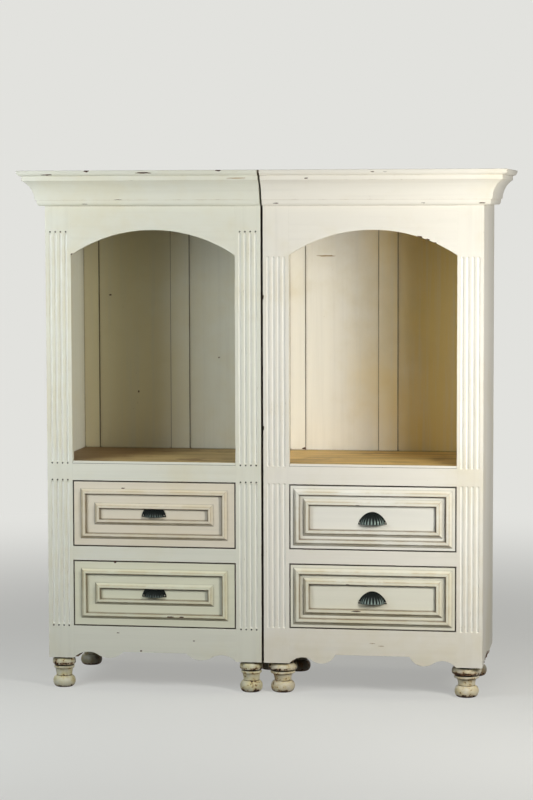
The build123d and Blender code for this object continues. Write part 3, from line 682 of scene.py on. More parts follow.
def back_lines(finish, place):
    """Dark wax in the joints between the stiles and the panels of a back."""
    across = abs(finish.axis(place, "X"))
    joint = finish.bands(across, BACK_JOINTS, 0.0005, 0.0014)
    patchy = finish.grain(place, 7.0, 4.0, 0.6)
    return ((joint * (0.25 + patchy), bpy.context.scene.armoire_paint.bare),)


def moulding_lines(low, high, sizes):
    """Aged gold and dark wax along the edges and mitres of the mouldings on one drawer front."""
    paint = bpy.context.scene.armoire_paint
    middle, half = (low + high) / 2, (high - low) / 2
    width, spacing = sizes.moulding_width, sizes.moulding_spacing
    start = sizes.moulding_border - spacing / 2
    period = width + spacing
    inside = 0.0001

    def lines(finish, place):
        in_x = half.x - abs(finish.axis(place, "X") - middle.x)
        in_z = half.z - abs(finish.axis(place, "Z") - middle.z)
        inset = in_x.least(in_z).most(start + inside).least(start + 2 * period - inside)
        along = (inset - start) % period - spacing / 2
        patchy = finish.grain(place, 11.0, 4.0, 0.6)
        # Which strips lie in the shade of a light from the upper right: the top and the right ones.
        upright = finish.rise(in_z - in_x, -0.0004, 0.0004)
        to_right = finish.rise(finish.axis(place, "X") - middle.x, -0.01, 0.01)
        to_top = finish.rise(finish.axis(place, "Z") - middle.z, -0.01, 0.01)
        shaded_side = upright * to_right + (1 - upright) * to_top
        on_strip = finish.band(along, width / 2, width / 2, 0.0002)
        golden = on_strip * finish.rise(patchy, 0.3, 0.7) * 0.28
        shoulder = finish.band(along, 0.46 * width, 0.0006, 0.0016)
        ridge = finish.band(along, 0.97 * width, 0.0005, 0.0016)
        gold = shoulder.most(ridge) * finish.rise(patchy, 0.32, 0.62) * 0.5
        # Painted shade on the outer slopes of the strips turned from the light, and painted shadow that the
        # ridges cast on the field.
        slope = finish.band(along, 0.2 * width, 0.2 * width, 0.0012) * (1 - shaded_side) * (0.2 + patchy * 0.5)
        ridge_shadow = finish.band(along, width + 0.0012, 0.0010, 0.0030) * (0.25 + shaded_side * 0.45)
        # Dark wax at the foot and at the inner edge of each strip, weighted as painted shade toward the side
        # turned from the light.
        foot = finish.band(along, -0.0004, 0.0006, 0.0012) * (0.55 - shaded_side * 0.35)
        drop_wax_and_shadow = finish.band(along, width + 0.0005, 0.0006, 0.0012) * (0.45 + shaded_side * 0.75)
        mitre = finish.band(in_x - in_z, 0.0, 0.0003, 0.0005) * on_strip
        # A dark band round the front's edge: painted shadow in the gap round the drawer.
        rim = 1 - finish.rise(in_x.least(in_z), 0.0020, 0.0034)
        wax_and_shadow_lines = foot.most(drop_wax_and_shadow).most(mitre * 0.4) * (0.45 + patchy * 0.8)
        return (
            (golden, paint.aged),
            (gold, paint.rubbed),
            (slope.most(ridge_shadow), paint.glaze_and_shade),
            (wax_and_shadow_lines.most(rim * 1.2), paint.deep_wax_and_shade),
        )

    return lines


def foot_paint(name, cream):
    """Paint of the turned feet: black in the grooves, broken through to reddish wood on the rounds."""
    paint = bpy.context.scene.armoire_paint
    finish, place = new_finish(name)
    height = finish.axis(place, "Z")
    cloud = finish.grain(place, 16.0, 3.0)
    mottle = finish.grain(place, 42.0, 5.0, 0.62)
    crackle = finish.grain(place, 130.0, 4.0, 0.65)
    corner = finish.corners(paint.glaze_and_shade_reach)
    edge = finish.edges(0.003)
    yellowed = tuple(shade * level for shade, level in zip(YELLOWING, cream))
    # Wax in the hollows, deepened as painted shade.
    waxed_and_shaded = finish.rise(corner * (0.6 + mottle), 0.2, 0.65)
    low = 1 - finish.rise(height, 0.004, 0.016)
    under_pad = finish.band(height, PAD_FOOT + 0.004, 0.003, 0.004)
    ragged = mottle * 0.6 + crackle * 0.4 + cloud * 0.3 + edge * 0.10 + low * 0.14 + under_pad * 0.12
    worn = finish.rise(ragged, 0.75, 0.78)
    wood = finish.layer(finish.rise(crackle, 0.36, 0.5), paint.rust, scaled(paint.bare, 0.35))
    rusty = finish.band(height, RING_FOOT - 0.0006, 0.0008, 0.0016) * finish.rise(mottle, 0.35, 0.6)
    # Dark in the groove and at the pad's top under the case, a painted shade, and at the sole, real wear.
    grime_and_shade = finish.band(height, GROOVE, 0.0016, 0.0012)
    grime_and_shade = grime_and_shade.most(finish.rise(height, PAD_TOP - 0.0035, PAD_TOP - 0.0005))
    grime_and_shade = grime_and_shade.most((1 - finish.rise(height, 0.001, 0.006)) * (0.3 + mottle))
    tone = finish.layers(
        cream,
        (0.25 + finish.rise(mottle, 0.3, 0.7) * 0.7, yellowed),
        (finish.rise(cloud, 0.42, 0.72) * 0.4, paint.glaze_and_shade),
        (waxed_and_shaded * 0.9, scaled(paint.glaze_and_shade, 0.5)),
        (finish.rise(ragged, 0.70, 0.75) * 0.7, paint.rust),
        (worn, wood),
        (rusty, paint.rust),
        (grime_and_shade, scaled(paint.deep_wax_and_shade, 0.4)),
    )
    bumps = crackle * 0.3 + mottle * 0.4 - worn
    return finish.surface(
        base_color=tone,
        roughness=0.42 + mottle * 0.2 + worn * 0.25,
        normal=finish.relief(bumps, 0.0009, 0.6),
        ior=PAINT_IOR,
    )


def plain_wood(name, light, dark, streaks):
    """Unpainted wood with fine pores along its grain."""
    finish, place = new_finish(name)
    bands = finish.grain(finish.stretched(place, streaks), 0.55, 4.0, 0.6, 0.6)
    pores = finish.grain(finish.stretched(place, streaks), 5.0, 4.0, 0.7)
    cloud = finish.grain(place, 5.0, 3.0)
    corner = finish.corners(0.012)
    tone = finish.layers(
        light,
        (finish.rise(bands, 0.35, 0.7) * 0.75, dark),
        (finish.rise(pores, 0.55, 0.8) * 0.5, dark),
        (finish.rise(cloud, 0.5, 0.8) * 0.3, scaled(light, 0.6)),
        # Painted shade: the wood darkened where the corners are occluded.
        (finish.rise(corner, 0.3, 0.9) * 0.6, scaled(dark, 0.3)),
    )
    return finish.surface(
        base_color=tone,
        roughness=0.62 + pores * 0.2,
        normal=finish.relief(bands * 0.4 + pores * 0.6, 0.0006, 0.5),
    )


def shelf_wood(name, light, cream, front, back, stain_and_shade):
    """The bare shelf top: long grain, stains toward the back, and paint over its front edge."""
    stain = bpy.context.scene.armoire_wood.shelf_stain
    paint = bpy.context.scene.armoire_paint
    finish, place = new_finish(name)
    deep, high = finish.axis(place, "Y"), finish.axis(place, "Z")
    bands = finish.grain(finish.stretched(place, (1.3, 26.0, 26.0)), 1.0, 5.0, 0.62, 0.8)
    pores = finish.grain(finish.stretched(place, (9.0, 240.0, 240.0)), 1.0, 3.0, 0.6)
    stains = finish.grain(place, 7.0, 4.0, 0.6)
    corner = finish.corners(0.03)
    # Toward the outer side and the back the shelf darkens: partly stain, partly painted shade.
    outward = abs(finish.axis(place, "X")) + deep * 0.6 + stains * 0.2
    rear = finish.rise(deep - back + stains * 0.004, -0.007, -0.002)
    painted = 1 - finish.rise(deep - front + stains * 0.006, 0.007, 0.010)
    joint = 1 - finish.rise(high, SHELF_RAIL_TOP + 0.0006, SHELF_RAIL_TOP + 0.0018)
    tone = finish.layers(
        light,
        (finish.rise(bands, 0.38, 0.7) * 0.5, stain),
        (finish.rise(pores, 0.5, 0.75) * 0.35, stain),
        (finish.rise(stains, 0.5, 0.7) * (0.25 + 0.35 * stain_and_shade), stain),
        (finish.rise(outward, 0.42, 0.72) * (0.75 * stain_and_shade), stain),
        # Painted shade: darker in the corners, and a dark band along the back edge where the back shades the
        # shelf.
        (finish.rise(corner, 0.15, 0.8) * 0.7, scaled(stain, 0.4)),
        (rear * 0.85, paint.deep_wax_and_shade),
        (painted, cream),
        (joint * painted, paint.deep_wax_and_shade),
    )
    return finish.surface(
        base_color=tone,
        roughness=0.5 + pores * 0.2,
        normal=finish.relief(bands * 0.4 + pores * 0.6, 0.0007, 0.5),
    )


def cast_iron(name):
    """Blackened cast iron, rubbed bright along its ribs."""
    metal = bpy.context.scene.armoire_metal
    finish, place = new_finish(name)
    cast = finish.grain(place, 420.0, 4.0, 0.65)
    patch = finish.grain(place, 90.0, 3.0)
    crest = finish.node("ShaderNodeAttribute", {"attribute_name": "crest"}, output="Fac")
    # The ribs are rubbed bright and carry a painted highlight, which fades toward the top of the dome.
    bright = finish.rise(crest + (patch - 0.5) * 0.3, 0.52, 1.0)
    tone = finish.layer(bright, metal.iron, metal.rubbed_iron_highlight)
    return finish.surface(
        base_color=tone,
        metallic=bright * 0.5,
        roughness=0.5 - bright * 0.1 + cast * 0.12,
        specular_ior_level=0.12,
        normal=finish.relief(cast, 0.0003, 0.6),
    )


def dull_steel(name, tint):
    """Plain steel, scratched and a little stained."""
    finish, place = new_finish(name)
    scratch = finish.grain(finish.stretched(place, (90.0, 700.0, 700.0)), 1.0, 3.0)
    stain = finish.grain(place, 160.0, 4.0)
    tone = finish.layer(finish.rise(stain, 0.45, 0.75) * 0.6, tint, scaled(tint, 0.35))
    return finish.surface(
        base_color=tone,
        metallic=0.85,
        roughness=0.34 + stain * 0.25,
        normal=finish.relief(scratch, 0.0001, 0.5),
    )


def pale_paper(name, tint, share):
    """The floor: paper that keeps the armoire's shadow, throws little light up, and is plain further off."""
    finish, place = new_finish(name)
    cloud = finish.grain(place, 0.6, 3.0)
    seen = finish.seen()
    tone = finish.layer(cloud * 0.06, tint, scaled(tint, 0.9))
    tone = finish.layer(seen, scaled(tint, 0.2), tone)
    away = finish.node("ShaderNodeVectorMath", {"operation": "LENGTH"}, {0: place}, output="Value")
    near, far = 1.2, 5.0
    plainness = share + finish.rise(away, near, far) * (1 - share)
    lit = finish.node("ShaderNodeBsdfDiffuse", None, {"Color": tone})
    plain = finish.node("ShaderNodeEmission", None, {"Color": as_colour(tint), "Strength": 1.0})
    mixed = finish.node("ShaderNodeMixShader", None, {0: seen * plainness, 1: lit, 2: plain})
    finish.node("ShaderNodeOutputMaterial", None, {"Surface": mixed})
    return finish.owner


def studio_room(name, tint, strength):
    """The room: pale where the camera looks, and otherwise a little light from all round."""
    finish = Finish(bpy.data.worlds.new(name))
    daylight = (0.96, 0.98, 1.0)
    lit = finish.node("ShaderNodeBackground", None, {"Color": as_colour(daylight), "Strength": strength})
    plain = finish.node("ShaderNodeBackground", None, {"Color": as_colour(tint), "Strength": 1.0})
    mixed = finish.node("ShaderNodeMixShader", None, {0: finish.seen(), 1: lit, 2: plain})
    finish.node("ShaderNodeOutputWorld", None, {"Surface": mixed})
    return finish.owner


def section_sizes(side):
    """The sizes of a section's own patterns."""
    return getattr(bpy.context.scene, f"armoire_{side}")


def section_cream(side):
    """The paint colour of a section."""
    return tuple(getattr(bpy.context.scene.armoire_paint, f"{side}_cream"))


def each_drawer():
    """Section, level and body of each drawer."""
    for side in SIDES:
        for level in LEVELS:
            yield side, level, f"{side}_{level}_drawer"


def shared(name, make, *values, **options):
    """A material by name, made the first time it is asked for."""
    found = bpy.data.materials.get(name)
    return found or make(name, *values, **options)


def bare_wood(kind, way, streaks):
    """The plain wood of the drawers or of the inner boards, named by the way its grain runs."""
    wood = bpy.context.scene.armoire_wood
    light, dark = getattr(wood, kind), getattr(wood, f"{kind}_grain")
    return shared(f"{kind}_wood_{way}", plain_wood, tuple(light), tuple(dark), streaks)


def placed(name, data):
    """A new object in the scene."""
    made = bpy.data.objects.new(name, data)
    bpy.context.scene.collection.objects.link(made)
    return made


def bevel(piece, width, limit):
    """Round the edges of a piece that are sharper than a limit in degrees."""
    arris = piece.modifiers.new("Soft edges", "BEVEL")
    arris.width = width
    arris.segments = 2
    arris.limit_method = "ANGLE"
    arris.angle_limit = math.radians(limit)


def soften(name, material, width=None):
    """Round the sawn edges of a CAD piece a little and give it its finish."""
    piece = frame["nodes"][name]
    same_spot, same_plane, sharp = 0.01 * MILLIMETRE, 0.5, 35
    weld = piece.modifiers.new("Joined corners", "WELD")
    weld.merge_threshold = same_spot
    flats = piece.modifiers.new("Whole faces", "DECIMATE")
    flats.decimate_type = "DISSOLVE"
    flats.angle_limit = math.radians(same_plane)
    bevel(piece, width or bpy.context.scene.armoire_shape.soft_edge, sharp)
    piece.material_slots[0].material = material


def new_piece(name, mesh, material, body, node, sharp):
    """A finished piece that rides on a body and stands for a CAD node.

    Its shading is smooth, and breaks at edges sharper than so many degrees.
    """
    mesh.shade_smooth()
    mesh.set_sharp_from_angle(angle=math.radians(sharp))
    mesh.materials.append(material)
    piece = placed(name, mesh)
    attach(piece, body)
    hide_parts(node)
    return piece


def round_edges(piece, width, limit):
    """Small rounding on the sharp edges of a new piece."""
    bevel(piece, width, limit)
    level = piece.modifiers.new("Level faces", "WEIGHTED_NORMAL")
    level.keep_sharp = True


def subtract(piece, taken, name):
    """A modifier that takes one object out of another."""
    cut = piece.modifiers.new(name, "BOOLEAN")
    cut.operation = "DIFFERENCE"
    cut.solver = "EXACT"
    cut.object = taken
    return cut


def carved(block, cutters):
    """The mesh that is left when the cutters are taken out of a block."""
    kept, taken = placed("block", block), placed("cutters", cutters)
    subtract(kept, taken, "Cut")
    graph = bpy.context.evaluated_depsgraph_get()
    mesh = bpy.data.meshes.new_from_object(kept.evaluated_get(graph), depsgraph=graph)
    mesh.name = block.name
    bpy.data.objects.remove(kept)
    bpy.data.objects.remove(taken)
    bpy.data.meshes.remove(cutters)
    return mesh


def mesh_of(build, name):
    """The mesh of what was built, with its faces turned outward."""
    bmesh.ops.recalc_face_normals(build, faces=build.faces)
    mesh = bpy.data.meshes.new(name)
    build.to_mesh(mesh)
    build.free()
    return mesh


def skin(build, rows, closed=True):
    """Faces between each row of points and the next, which is as long."""
    count = len(rows[0])
    for lower, upper in zip(rows, rows[1:]):
        for here in range(count if closed else count - 1):
            after = (here + 1) % count
            build.faces.new((lower[here], lower[after], upper[after], upper[here]))


def cap(build, row, tip, closed=True):
    """Faces from a row of points to a tip."""
    count = len(row)
    for here in range(count if closed else count - 1):
        build.faces.new((row[here], row[(here + 1) % count], tip))


def bar(build, outlines):
    """A solid through its outlines, closed at both ends. Gives its rows of points."""
    rows = [[build.verts.new(spot) for spot in outline] for outline in outlines]
    skin(build, rows)
    build.faces.new(rows[0])
    build.faces.new(rows[-1])
    return rows


def curve_points(start, first, second, end, steps):
    """Points of a curve with two handles, without its start."""
    given = (start, first, second, end)
    points = []
    for index in range(1, steps + 1):
        t = index / steps
        weights = ((1 - t) ** 3, 3 * t * (1 - t) ** 2, 3 * t**2 * (1 - t), t**3)
        points.append(tuple(sum(w * p[k] for w, p in zip(weights, given)) for k in (0, 1)))
    return points


def quarter(start, end, flat_first, steps):
    """Points of a quarter ellipse from start to end, without its start."""
    bulge = 0.5523
    (x0, y0), (x1, y1) = start, end
    if flat_first:
        handles = ((x0 + bulge * (x1 - x0), y0), (x1, y1 - bulge * (y1 - y0)))
    else:
        handles = ((x0, y0 + bulge * (y1 - y0)), (x1 - bulge * (x1 - x0), y1))
    return curve_points(start, *handles, end, steps)


class ARMOIRE_OT_face_frame(Operator):
    """Paint the rails, arches and aprons of the face frames"""

    bl_idname = "armoire.face_frame"
    bl_label = "Face frames"

    def execute(self, context):
        edge = context.scene.armoire_shape.joint_edge
        for side in SIDES:
            cream = section_cream(side)
            arch = shared(f"{side}_arch_paint", worn_paint, cream, LEVEL, spared=off_tenons)
            rail = shared(f"{side}_rail_paint", worn_paint, cream, LEVEL, spared=off_tenons, raw=behind_face)
            soften(f"{side}_arch_rail", arch, edge)
            for node in ("shelf_rail", "drawer_rail", "apron"):
                soften(f"{side}_{node}", rail, edge)
        return {"FINISHED"}


class ARMOIRE_OT_stiles(Operator):
    """Cut round-ended flutes into the stiles"""

    bl_idname = "armoire.stiles"
    bl_label = "Fluted stiles"

    def flute(self, build, x, front, heights, shape):
        """Add a round bar with ball ends that cuts one flute out of a face."""
        radius = (shape.flute_width**2 / 4 + shape.flute_depth**2) / (2 * shape.flute_depth)
        centre = front - radius + shape.flute_depth
        overhang = radius - shape.flute_width / 2
        low, high = heights[0] + radius - overhang, heights[1] - radius + overhang
        sides, rings = 16, 5
        ball = []
        for index in range(rings + 1):
            turn = math.pi / 2 * index / rings
            ball.append((radius * math.sin(turn), low - radius * math.cos(turn)))
        profile = ball + [(r, low + high - z) for r, z in reversed(ball)]
        turns = [2 * math.pi * (k + 0.5) / sides for k in range(sides)]
        rows = []
        for r, z in profile[1:-1]:
            rows.append([build.verts.new((x + r * math.cos(t), centre + r * math.sin(t), z)) for t in turns])
        skin(build, rows)
        for row, (_, z) in ((rows[0], profile[0]), (rows[-1], profile[-1])):
            cap(build, row, build.verts.new((x, centre, z)))

    def hole(self, build, x, front, z, radius):
        """Add a ball that cuts the small round hole at the end of a flute."""
        size = Matrix.Diagonal((radius, HOLE_DEPTH * radius, radius, 1.0))
        place = Matrix.Translation((x, front, z)) @ size
        bmesh.ops.create_icosphere(build, subdivisions=2, radius=1, matrix=place)

    def cutters(self, low, high, sizes, shape):
        """Bars and balls for all the flutes of one stile."""
        build = bmesh.new()
        first = (low.x + high.x - (shape.flute_count - 1) * shape.flute_pitch) / 2
        hole = sizes.flute_hole
        stop = HOLE_ROOM * hole
        for index in range(shape.flute_count):
            x = first + index * shape.flute_pitch
            for foot, head in (sizes.lower_flutes, sizes.upper_flutes):
                self.flute(build, x, low.y, (foot + stop, head - stop), shape)
                if hole > 0:
                    for z in (foot + hole, head - hole):
                        self.hole(build, x, low.y, z, hole)
        return mesh_of(build, "flutes")

    def execute(self, context):
        shape = context.scene.armoire_shape
        sharp = 40
        for side in SIDES:
            sizes = section_sizes(side)
            masks = {"lines": flute_tones(sizes), "spared": off_rails, "raw": drawer_gap}
            cream = section_cream(side)
            material = shared(f"{side}_stile_paint", worn_paint, cream, UPRIGHT, dirt=0.6, **masks)
            for place in ("inner", "outer"):
                node = f"{side}_{place}_stile"
                low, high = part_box(node)
                build = bmesh.new()
                block = Matrix.Translation((low + high) / 2) @ Matrix.Diagonal((*(high - low), 1))
                bmesh.ops.create_cube(build, size=1, matrix=block)
                mesh = carved(mesh_of(build, f"{node}_fluted"), self.cutters(low, high, sizes, shape))
                piece = new_piece(f"{node}_fluted", mesh, material, "carcass", node, sharp)
                round_edges(piece, shape.joint_edge, sharp)
        return {"FINISHED"}


class ARMOIRE_OT_cornice(Operator):
    """Run the coved cornices and mitre their returns"""

    bl_idname = "armoire.cornice"
    bl_label = "Cornices"

    def profile(self, foot, top):
        """Projection from the carcass and height of each point round the cornice's section."""
        bead_foot, bead = (0.015, foot), (0.024, foot + 0.0135)
        step = (0.0295, foot + 0.020)
        cove_radius, cove_turn, cove_steps = 0.081, math.radians(54.4), 16
        fillet = 0.066
        crown_foot, crown = (0.068, foot + 0.102), (0.082, foot + 0.118)
        rim, rebate = 0.0015, 0.018
        back_head, back_foot = (fillet - 0.020, top - rebate), (0.0, foot + 0.023)
        points = [(0.0, foot), bead_foot, *quarter(bead_foot, bead, True, 7), (bead[0], step[1]), step]
        for index in range(1, cove_steps + 1):
            turn = cove_turn * index / cove_steps
            out = step[0] + cove_radius * (1 - math.cos(turn))
            points.append((out, step[1] + cove_radius * math.sin(turn)))
        points += [(fillet, points[-1][1]), (fillet, crown_foot[1]), crown_foot]
        points += quarter(crown_foot, crown, True, 9)
        points += quarter((crown[0], crown[1] + rim), (crown[0] - rim, top), False, 3)
        points += [(crown[0] - rebate, top), (crown[0] - rebate, top - rebate), back_head, back_foot]
        return points

    def execute(self, context):
        sharp = 28
        edge = 0.8 * context.scene.armoire_shape.soft_edge
        for side in SIDES:
            way = WAYS[side]
            front_low, front_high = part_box(f"{side}_cornice_front")
            side_low, side_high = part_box(f"{side}_cornice_return")
            carcass_front = front_high.y
            carcass_side = side_low.x if way > 0 else side_high.x
            meeting = front_low.x if way > 0 else front_high.x
            section = self.profile(front_low.z, front_high.z)
            inner = [(meeting, carcass_front - out, z) for out, z in section]
            mitre = [(carcass_side + way * out, carcass_front - out, z) for out, z in section]
            rear = [(carcass_side + way * out, side_high.y, z) for out, z in section]
            runs = ("front", "cornice", LEVEL, (inner, mitre)), ("return", "return", DEEP, (mitre, rear))
            cream = section_cream(side)
            for place, paint, streaks, outlines in runs:
                node = f"{side}_cornice_{place}"
                material = shared(f"{side}_{paint}_paint", worn_paint, cream, streaks, wear=0.6, dirt=0.45)
                build = bmesh.new()
                bar(build, outlines)
                mesh = mesh_of(build, f"{node}_run")
                piece = new_piece(f"{node}_run", mesh, material, "carcass", node, sharp)
                round_edges(piece, edge, sharp)
        return {"FINISHED"}


class ARMOIRE_OT_case_boards(Operator):
    """Finish the sides, backs, tops and bottoms of the two cases"""

    bl_idname = "armoire.case_boards"
    bl_label = "Case boards"

    def execute(self, context):
        paint = context.scene.armoire_paint
        inner = bare_wood("inner", "level", LEVEL)
        for side in SIDES:
            # The right section's niche paint is lighter than its cream, a painted light inside the niche.
            niche, aged = (tuple(getattr(paint, f"{side}_{place}")) for place in ("niche", "inside"))
            outer = shared(f"{side}_side_paint", worn_paint, section_cream(side), UPRIGHT, wear=0.6)
            wall = shared(f"{side}_wall_paint", worn_paint, niche, UPRIGHT, wear=0.6, raw=between_sections)
            # The back goes golden toward the niche's outer end: partly yellowed paint, partly painted shade.
            masks = {"base": aged_and_shaded_toward_outside(niche, aged), "lines": back_lines}
            back = shared(f"{side}_back_paint", worn_paint, niche, UPRIGHT, wear=0.3, **masks)
            soften(f"{side}_outer_side", outer)
            soften(f"{side}_inner_side", wall)
            for node in ("back_frame", "back_panels"):
                soften(f"{side}_{node}", back)
            for node in ("top_board", "bottom_board"):
                soften(f"{side}_{node}", inner)
        return {"FINISHED"}


class ARMOIRE_OT_shelves(Operator):
    """Finish the bare wooden floors of the niches"""

    bl_idname = "armoire.shelves"
    bl_label = "Shelves"

    def execute(self, context):
        for side, stain_and_shade in SHELF_STAINS_AND_SHADE.items():
            node = f"{side}_shelf"
            light = tuple(getattr(context.scene.armoire_wood, node))
            low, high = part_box(node)
            soften(node, shelf_wood(f"{node}_wood", light, section_cream(side), low.y, high.y, stain_and_shade))
        return {"FINISHED"}


class ARMOIRE_OT_drawers(Operator):
    """Paint the drawer fronts and finish their boxes and runners"""

    bl_idname = "armoire.drawers"
    bl_label = "Drawers"

    def execute(self, context):
        for side, level, body in each_drawer():
            soften(f"{body}_front", front_paint(side, level))
            soften(f"{body}_box", bare_wood("drawer", "deep", DEEP))
            soften(f"{body}_bottom", bare_wood("drawer", "level", LEVEL))
        for node in ("drawer_guides", "foot_blocks"):
            soften(node, bare_wood("inner", "deep", DEEP))
        return {"FINISHED"}


def front_paint(side, level):
    """The paint of one drawer front and of the mouldings on it."""
    tint = getattr(bpy.context.scene.armoire_paint, f"{side}_{level}_front")
    lines = moulding_lines(*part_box(f"{side}_{level}_drawer_front"), section_sizes(side))
    masks = {"lines": lines, "raw": behind_face}
    return shared(f"{side}_{level}_drawer_paint", worn_paint, tuple(tint), LEVEL, wear=0.3, dirt=0.7, **masks)


class ARMOIRE_OT_drawer_mouldings(Operator):
    """Run the mitred mouldings round the drawer fronts"""

    bl_idname = "armoire.drawer_mouldings"
    bl_label = "Drawer mouldings"

    def profile(self, width, relief):
        """Inset and relief of each point: a hollow slope, a step and a flat ridge."""
        share = [(0.0, 0.0), (0.0, 0.10)]
        share += curve_points((0.0, 0.10), (0.14, 0.16), (0.32, 0.42), (0.40, 0.76), 6)
        share += [(0.445, 0.79), (0.455, 0.93)]
        share += curve_points((0.455, 0.93), (0.46, 0.98), (0.49, 1.0), (0.53, 1.0), 3)
        share += [(0.93, 1.0)]
        share += curve_points((0.93, 1.0), (0.98, 1.0), (1.0, 0.97), (1.0, 0.92), 3)
        share += [(1.0, 0.0)]
        return [(width * inward, relief * rise) for inward, rise in share]

    def rectangle(self, build, low, high, section, gap):
        """Four mitred strips round a rectangle."""
        corners = ((low.x, low.z), (high.x, low.z), (high.x, high.z), (low.x, high.z))
        for index in range(4):
            bar(build, self.strip(corners, index, section, high.y, gap))

    def strip(self, corners, index, section, back, gap):
        """The two mitred end outlines of one side of a moulded rectangle."""
        start, end = Vector(corners[index]), Vector(corners[(index + 1) % 4])
        along = (end - start).normalized()
        inward = Vector((-along.y, along.x))
        rings = []
        for corner, way in ((start, 1), (end, -1)):
            ring = []
            for depth, rise in section:
                spot = corner + inward * depth + along * (way * (depth + gap))
                ring.append((spot.x, back - rise, spot.y))
            rings.append(ring)
        return rings

    def execute(self, context):
        gap = context.scene.armoire_shape.mitre_gap / 2
        sharp = 30
        for side, level, body in each_drawer():
            sizes = section_sizes(side)
            node = f"{body}_mouldings"
            low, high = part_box(node)
            section = self.profile(sizes.moulding_width, high.y - low.y)
            step = sizes.moulding_width + sizes.moulding_spacing
            inset = Vector((step, 0, step))
            build = bmesh.new()
            self.rectangle(build, low, high, section, gap)
            self.rectangle(build, low + inset, high - inset, section, gap)
            mesh, material = mesh_of(build, f"{node}_run"), front_paint(side, level)
            new_piece(f"{node}_run", mesh, material, body, node, sharp)
        return {"FINISHED"}


class ARMOIRE_OT_pulls(Operator):
    """Cast the ribbed cup pulls"""

    bl_idname = "armoire.pulls"
    bl_label = "Cup pulls"

    def execute(self, context):
        shape = context.scene.armoire_shape
        material = shared("pull_iron_cast", cast_iron)
        sharp, rounded, edge = 50, 45, 0.35 * MILLIMETRE
        for side, _, body in each_drawer():
            node = f"{body}_pull"
            mesh = self.pull(node, *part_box(node), section_sizes(side), shape)
            piece = new_piece(f"{node}_cast", mesh, material, body, node, sharp)
            round_edges(piece, edge, rounded)
        return {"FINISHED"}

    def pull(self, node, low, high, sizes, shape):
        """A ribbed half dome over a thin plate with pointed ears, cut off level where the CAD one is."""
        centre, foot, back = (low.x + high.x) / 2, low.z, high.y
        half = (high.x - low.x) / 2
        steps = 48
        outline = []
        for index in range(steps + 1):
            turn = math.pi * index / steps
            rise = sizes.plate_height * (math.sin(turn) + math.sin(turn) ** 2) / 2
            outline.append((centre + half * math.cos(turn), min(foot + rise, high.z)))
        build = bmesh.new()
        bar(build, [[(x, y, z) for x, z in outline] for y in (back - shape.pull_plate, back)])
        self.shell(build, centre, foot, back, low.y, sizes, shape)
        return mesh_of(build, f"{node}_cast")

    def shell(self, build, centre, foot, back, front, sizes, shape):
        """The dome: ribs that fan down from its crown, a smooth hollow behind them, and the lip between."""
        crest = build.verts.layers.float.new("crest")
        per_rib, upward = 12, 20
        roundness, fading = 0.8, 0.5
        around = per_rib * shape.pull_ribs
        base = back - shape.pull_plate / 2
        depth = back - front - shape.pull_bulge
        skins = []
        for wall in (0.0, shape.pull_wall):
            rows = []
            for step in range(upward):
                rise = math.sin(math.pi / 2 * step / upward)
                size = math.sqrt(1 - rise**2)
                ring = []
                for index in range(around + 1):
                    turn = math.pi * index / around
                    swell = abs(math.sin(shape.pull_ribs * turn)) ** roundness if wall == 0.0 else 0.0
                    bulge = size * shape.pull_bulge * swell
                    x = (size * (sizes.shell_width / 2 - wall) + bulge) * math.cos(turn)
                    y = (size * (depth - wall) + bulge) * math.sin(turn)
                    z = rise * (sizes.shell_height - wall)
                    point = build.verts.new((centre + x, base - y, foot + z))
                    # Rib tops are marked for rubbed iron and a painted highlight, fading toward the top.
                    point[crest] = swell * (1 - rise) ** fading * sizes.rib_shine
                    ring.append(point)
                rows.append(ring)
            crown = build.verts.new((centre, base, foot + sizes.shell_height - wall))
            skin(build, rows, closed=False)
            cap(build, rows[-1], crown, closed=False)
            skins.append((rows, crown))
        skin(build, [rows[0] for rows, _ in skins], closed=False)
        for end in (0, around):
            skin(build, [[*(row[end] for row in rows), crown] for rows, crown in skins], closed=False)


class ARMOIRE_OT_pull_screws(Operator):
    """Turn the slotted heads of the pull screws"""

    bl_idname = "armoire.pull_screws"
    bl_label = "Pull screws"

    def execute(self, context):
        radius = context.scene.armoire_shape.screw_head
        material = shared("screw_steel_dull", dull_steel, tuple(context.scene.armoire_metal.screw))
        sharp = 40
        for _, _, body in each_drawer():
            node = f"{body}_pull_screws"
            low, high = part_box(node)
            build = bmesh.new()
            for x, turn in zip((low.x + radius, high.x - radius), SLOT_TURNS):
                self.screw(build, Vector((x, low.y, (low.z + high.z) / 2)), high.y, radius, turn)
            mesh = mesh_of(build, f"{node}_turned")
            new_piece(f"{node}_turned", mesh, material, body, node, sharp)
        return {"FINISHED"}

    def screw(self, build, tip, end, radius, turn):
        """A domed head with a sawn slot, on a tapered shank."""
        head, shank = 1.8 * MILLIMETRE, 1.4 * MILLIMETRE
        slot_half, slot_depth = 0.16 * radius, 0.35 * MILLIMETRE
        sides, slotted = 24, 3
        dome = [(0.30, 0.0), (0.55, 0.10), (0.78, 0.32), (0.93, 0.62), (1.0, 1.0)]
        profile = [(radius * r, tip.y + head * y) for r, y in dome]
        profile += [(shank, tip.y + head), (shank, end - 3 * shank), (0.2 * shank, end)]
        turns = [2 * math.pi * k / sides for k in range(sides)]
        outlines = []
        for r, y in profile:
            outlines.append([(tip.x + r * math.cos(t), y, tip.z + r * math.sin(t)) for t in turns])
        across = Vector((-math.sin(turn), 0, math.cos(turn)))
        for ring in bar(build, outlines)[:slotted]:
            for point in ring:
                if abs((point.co - tip).dot(across)) < slot_half:
                    point.co.y += slot_depth


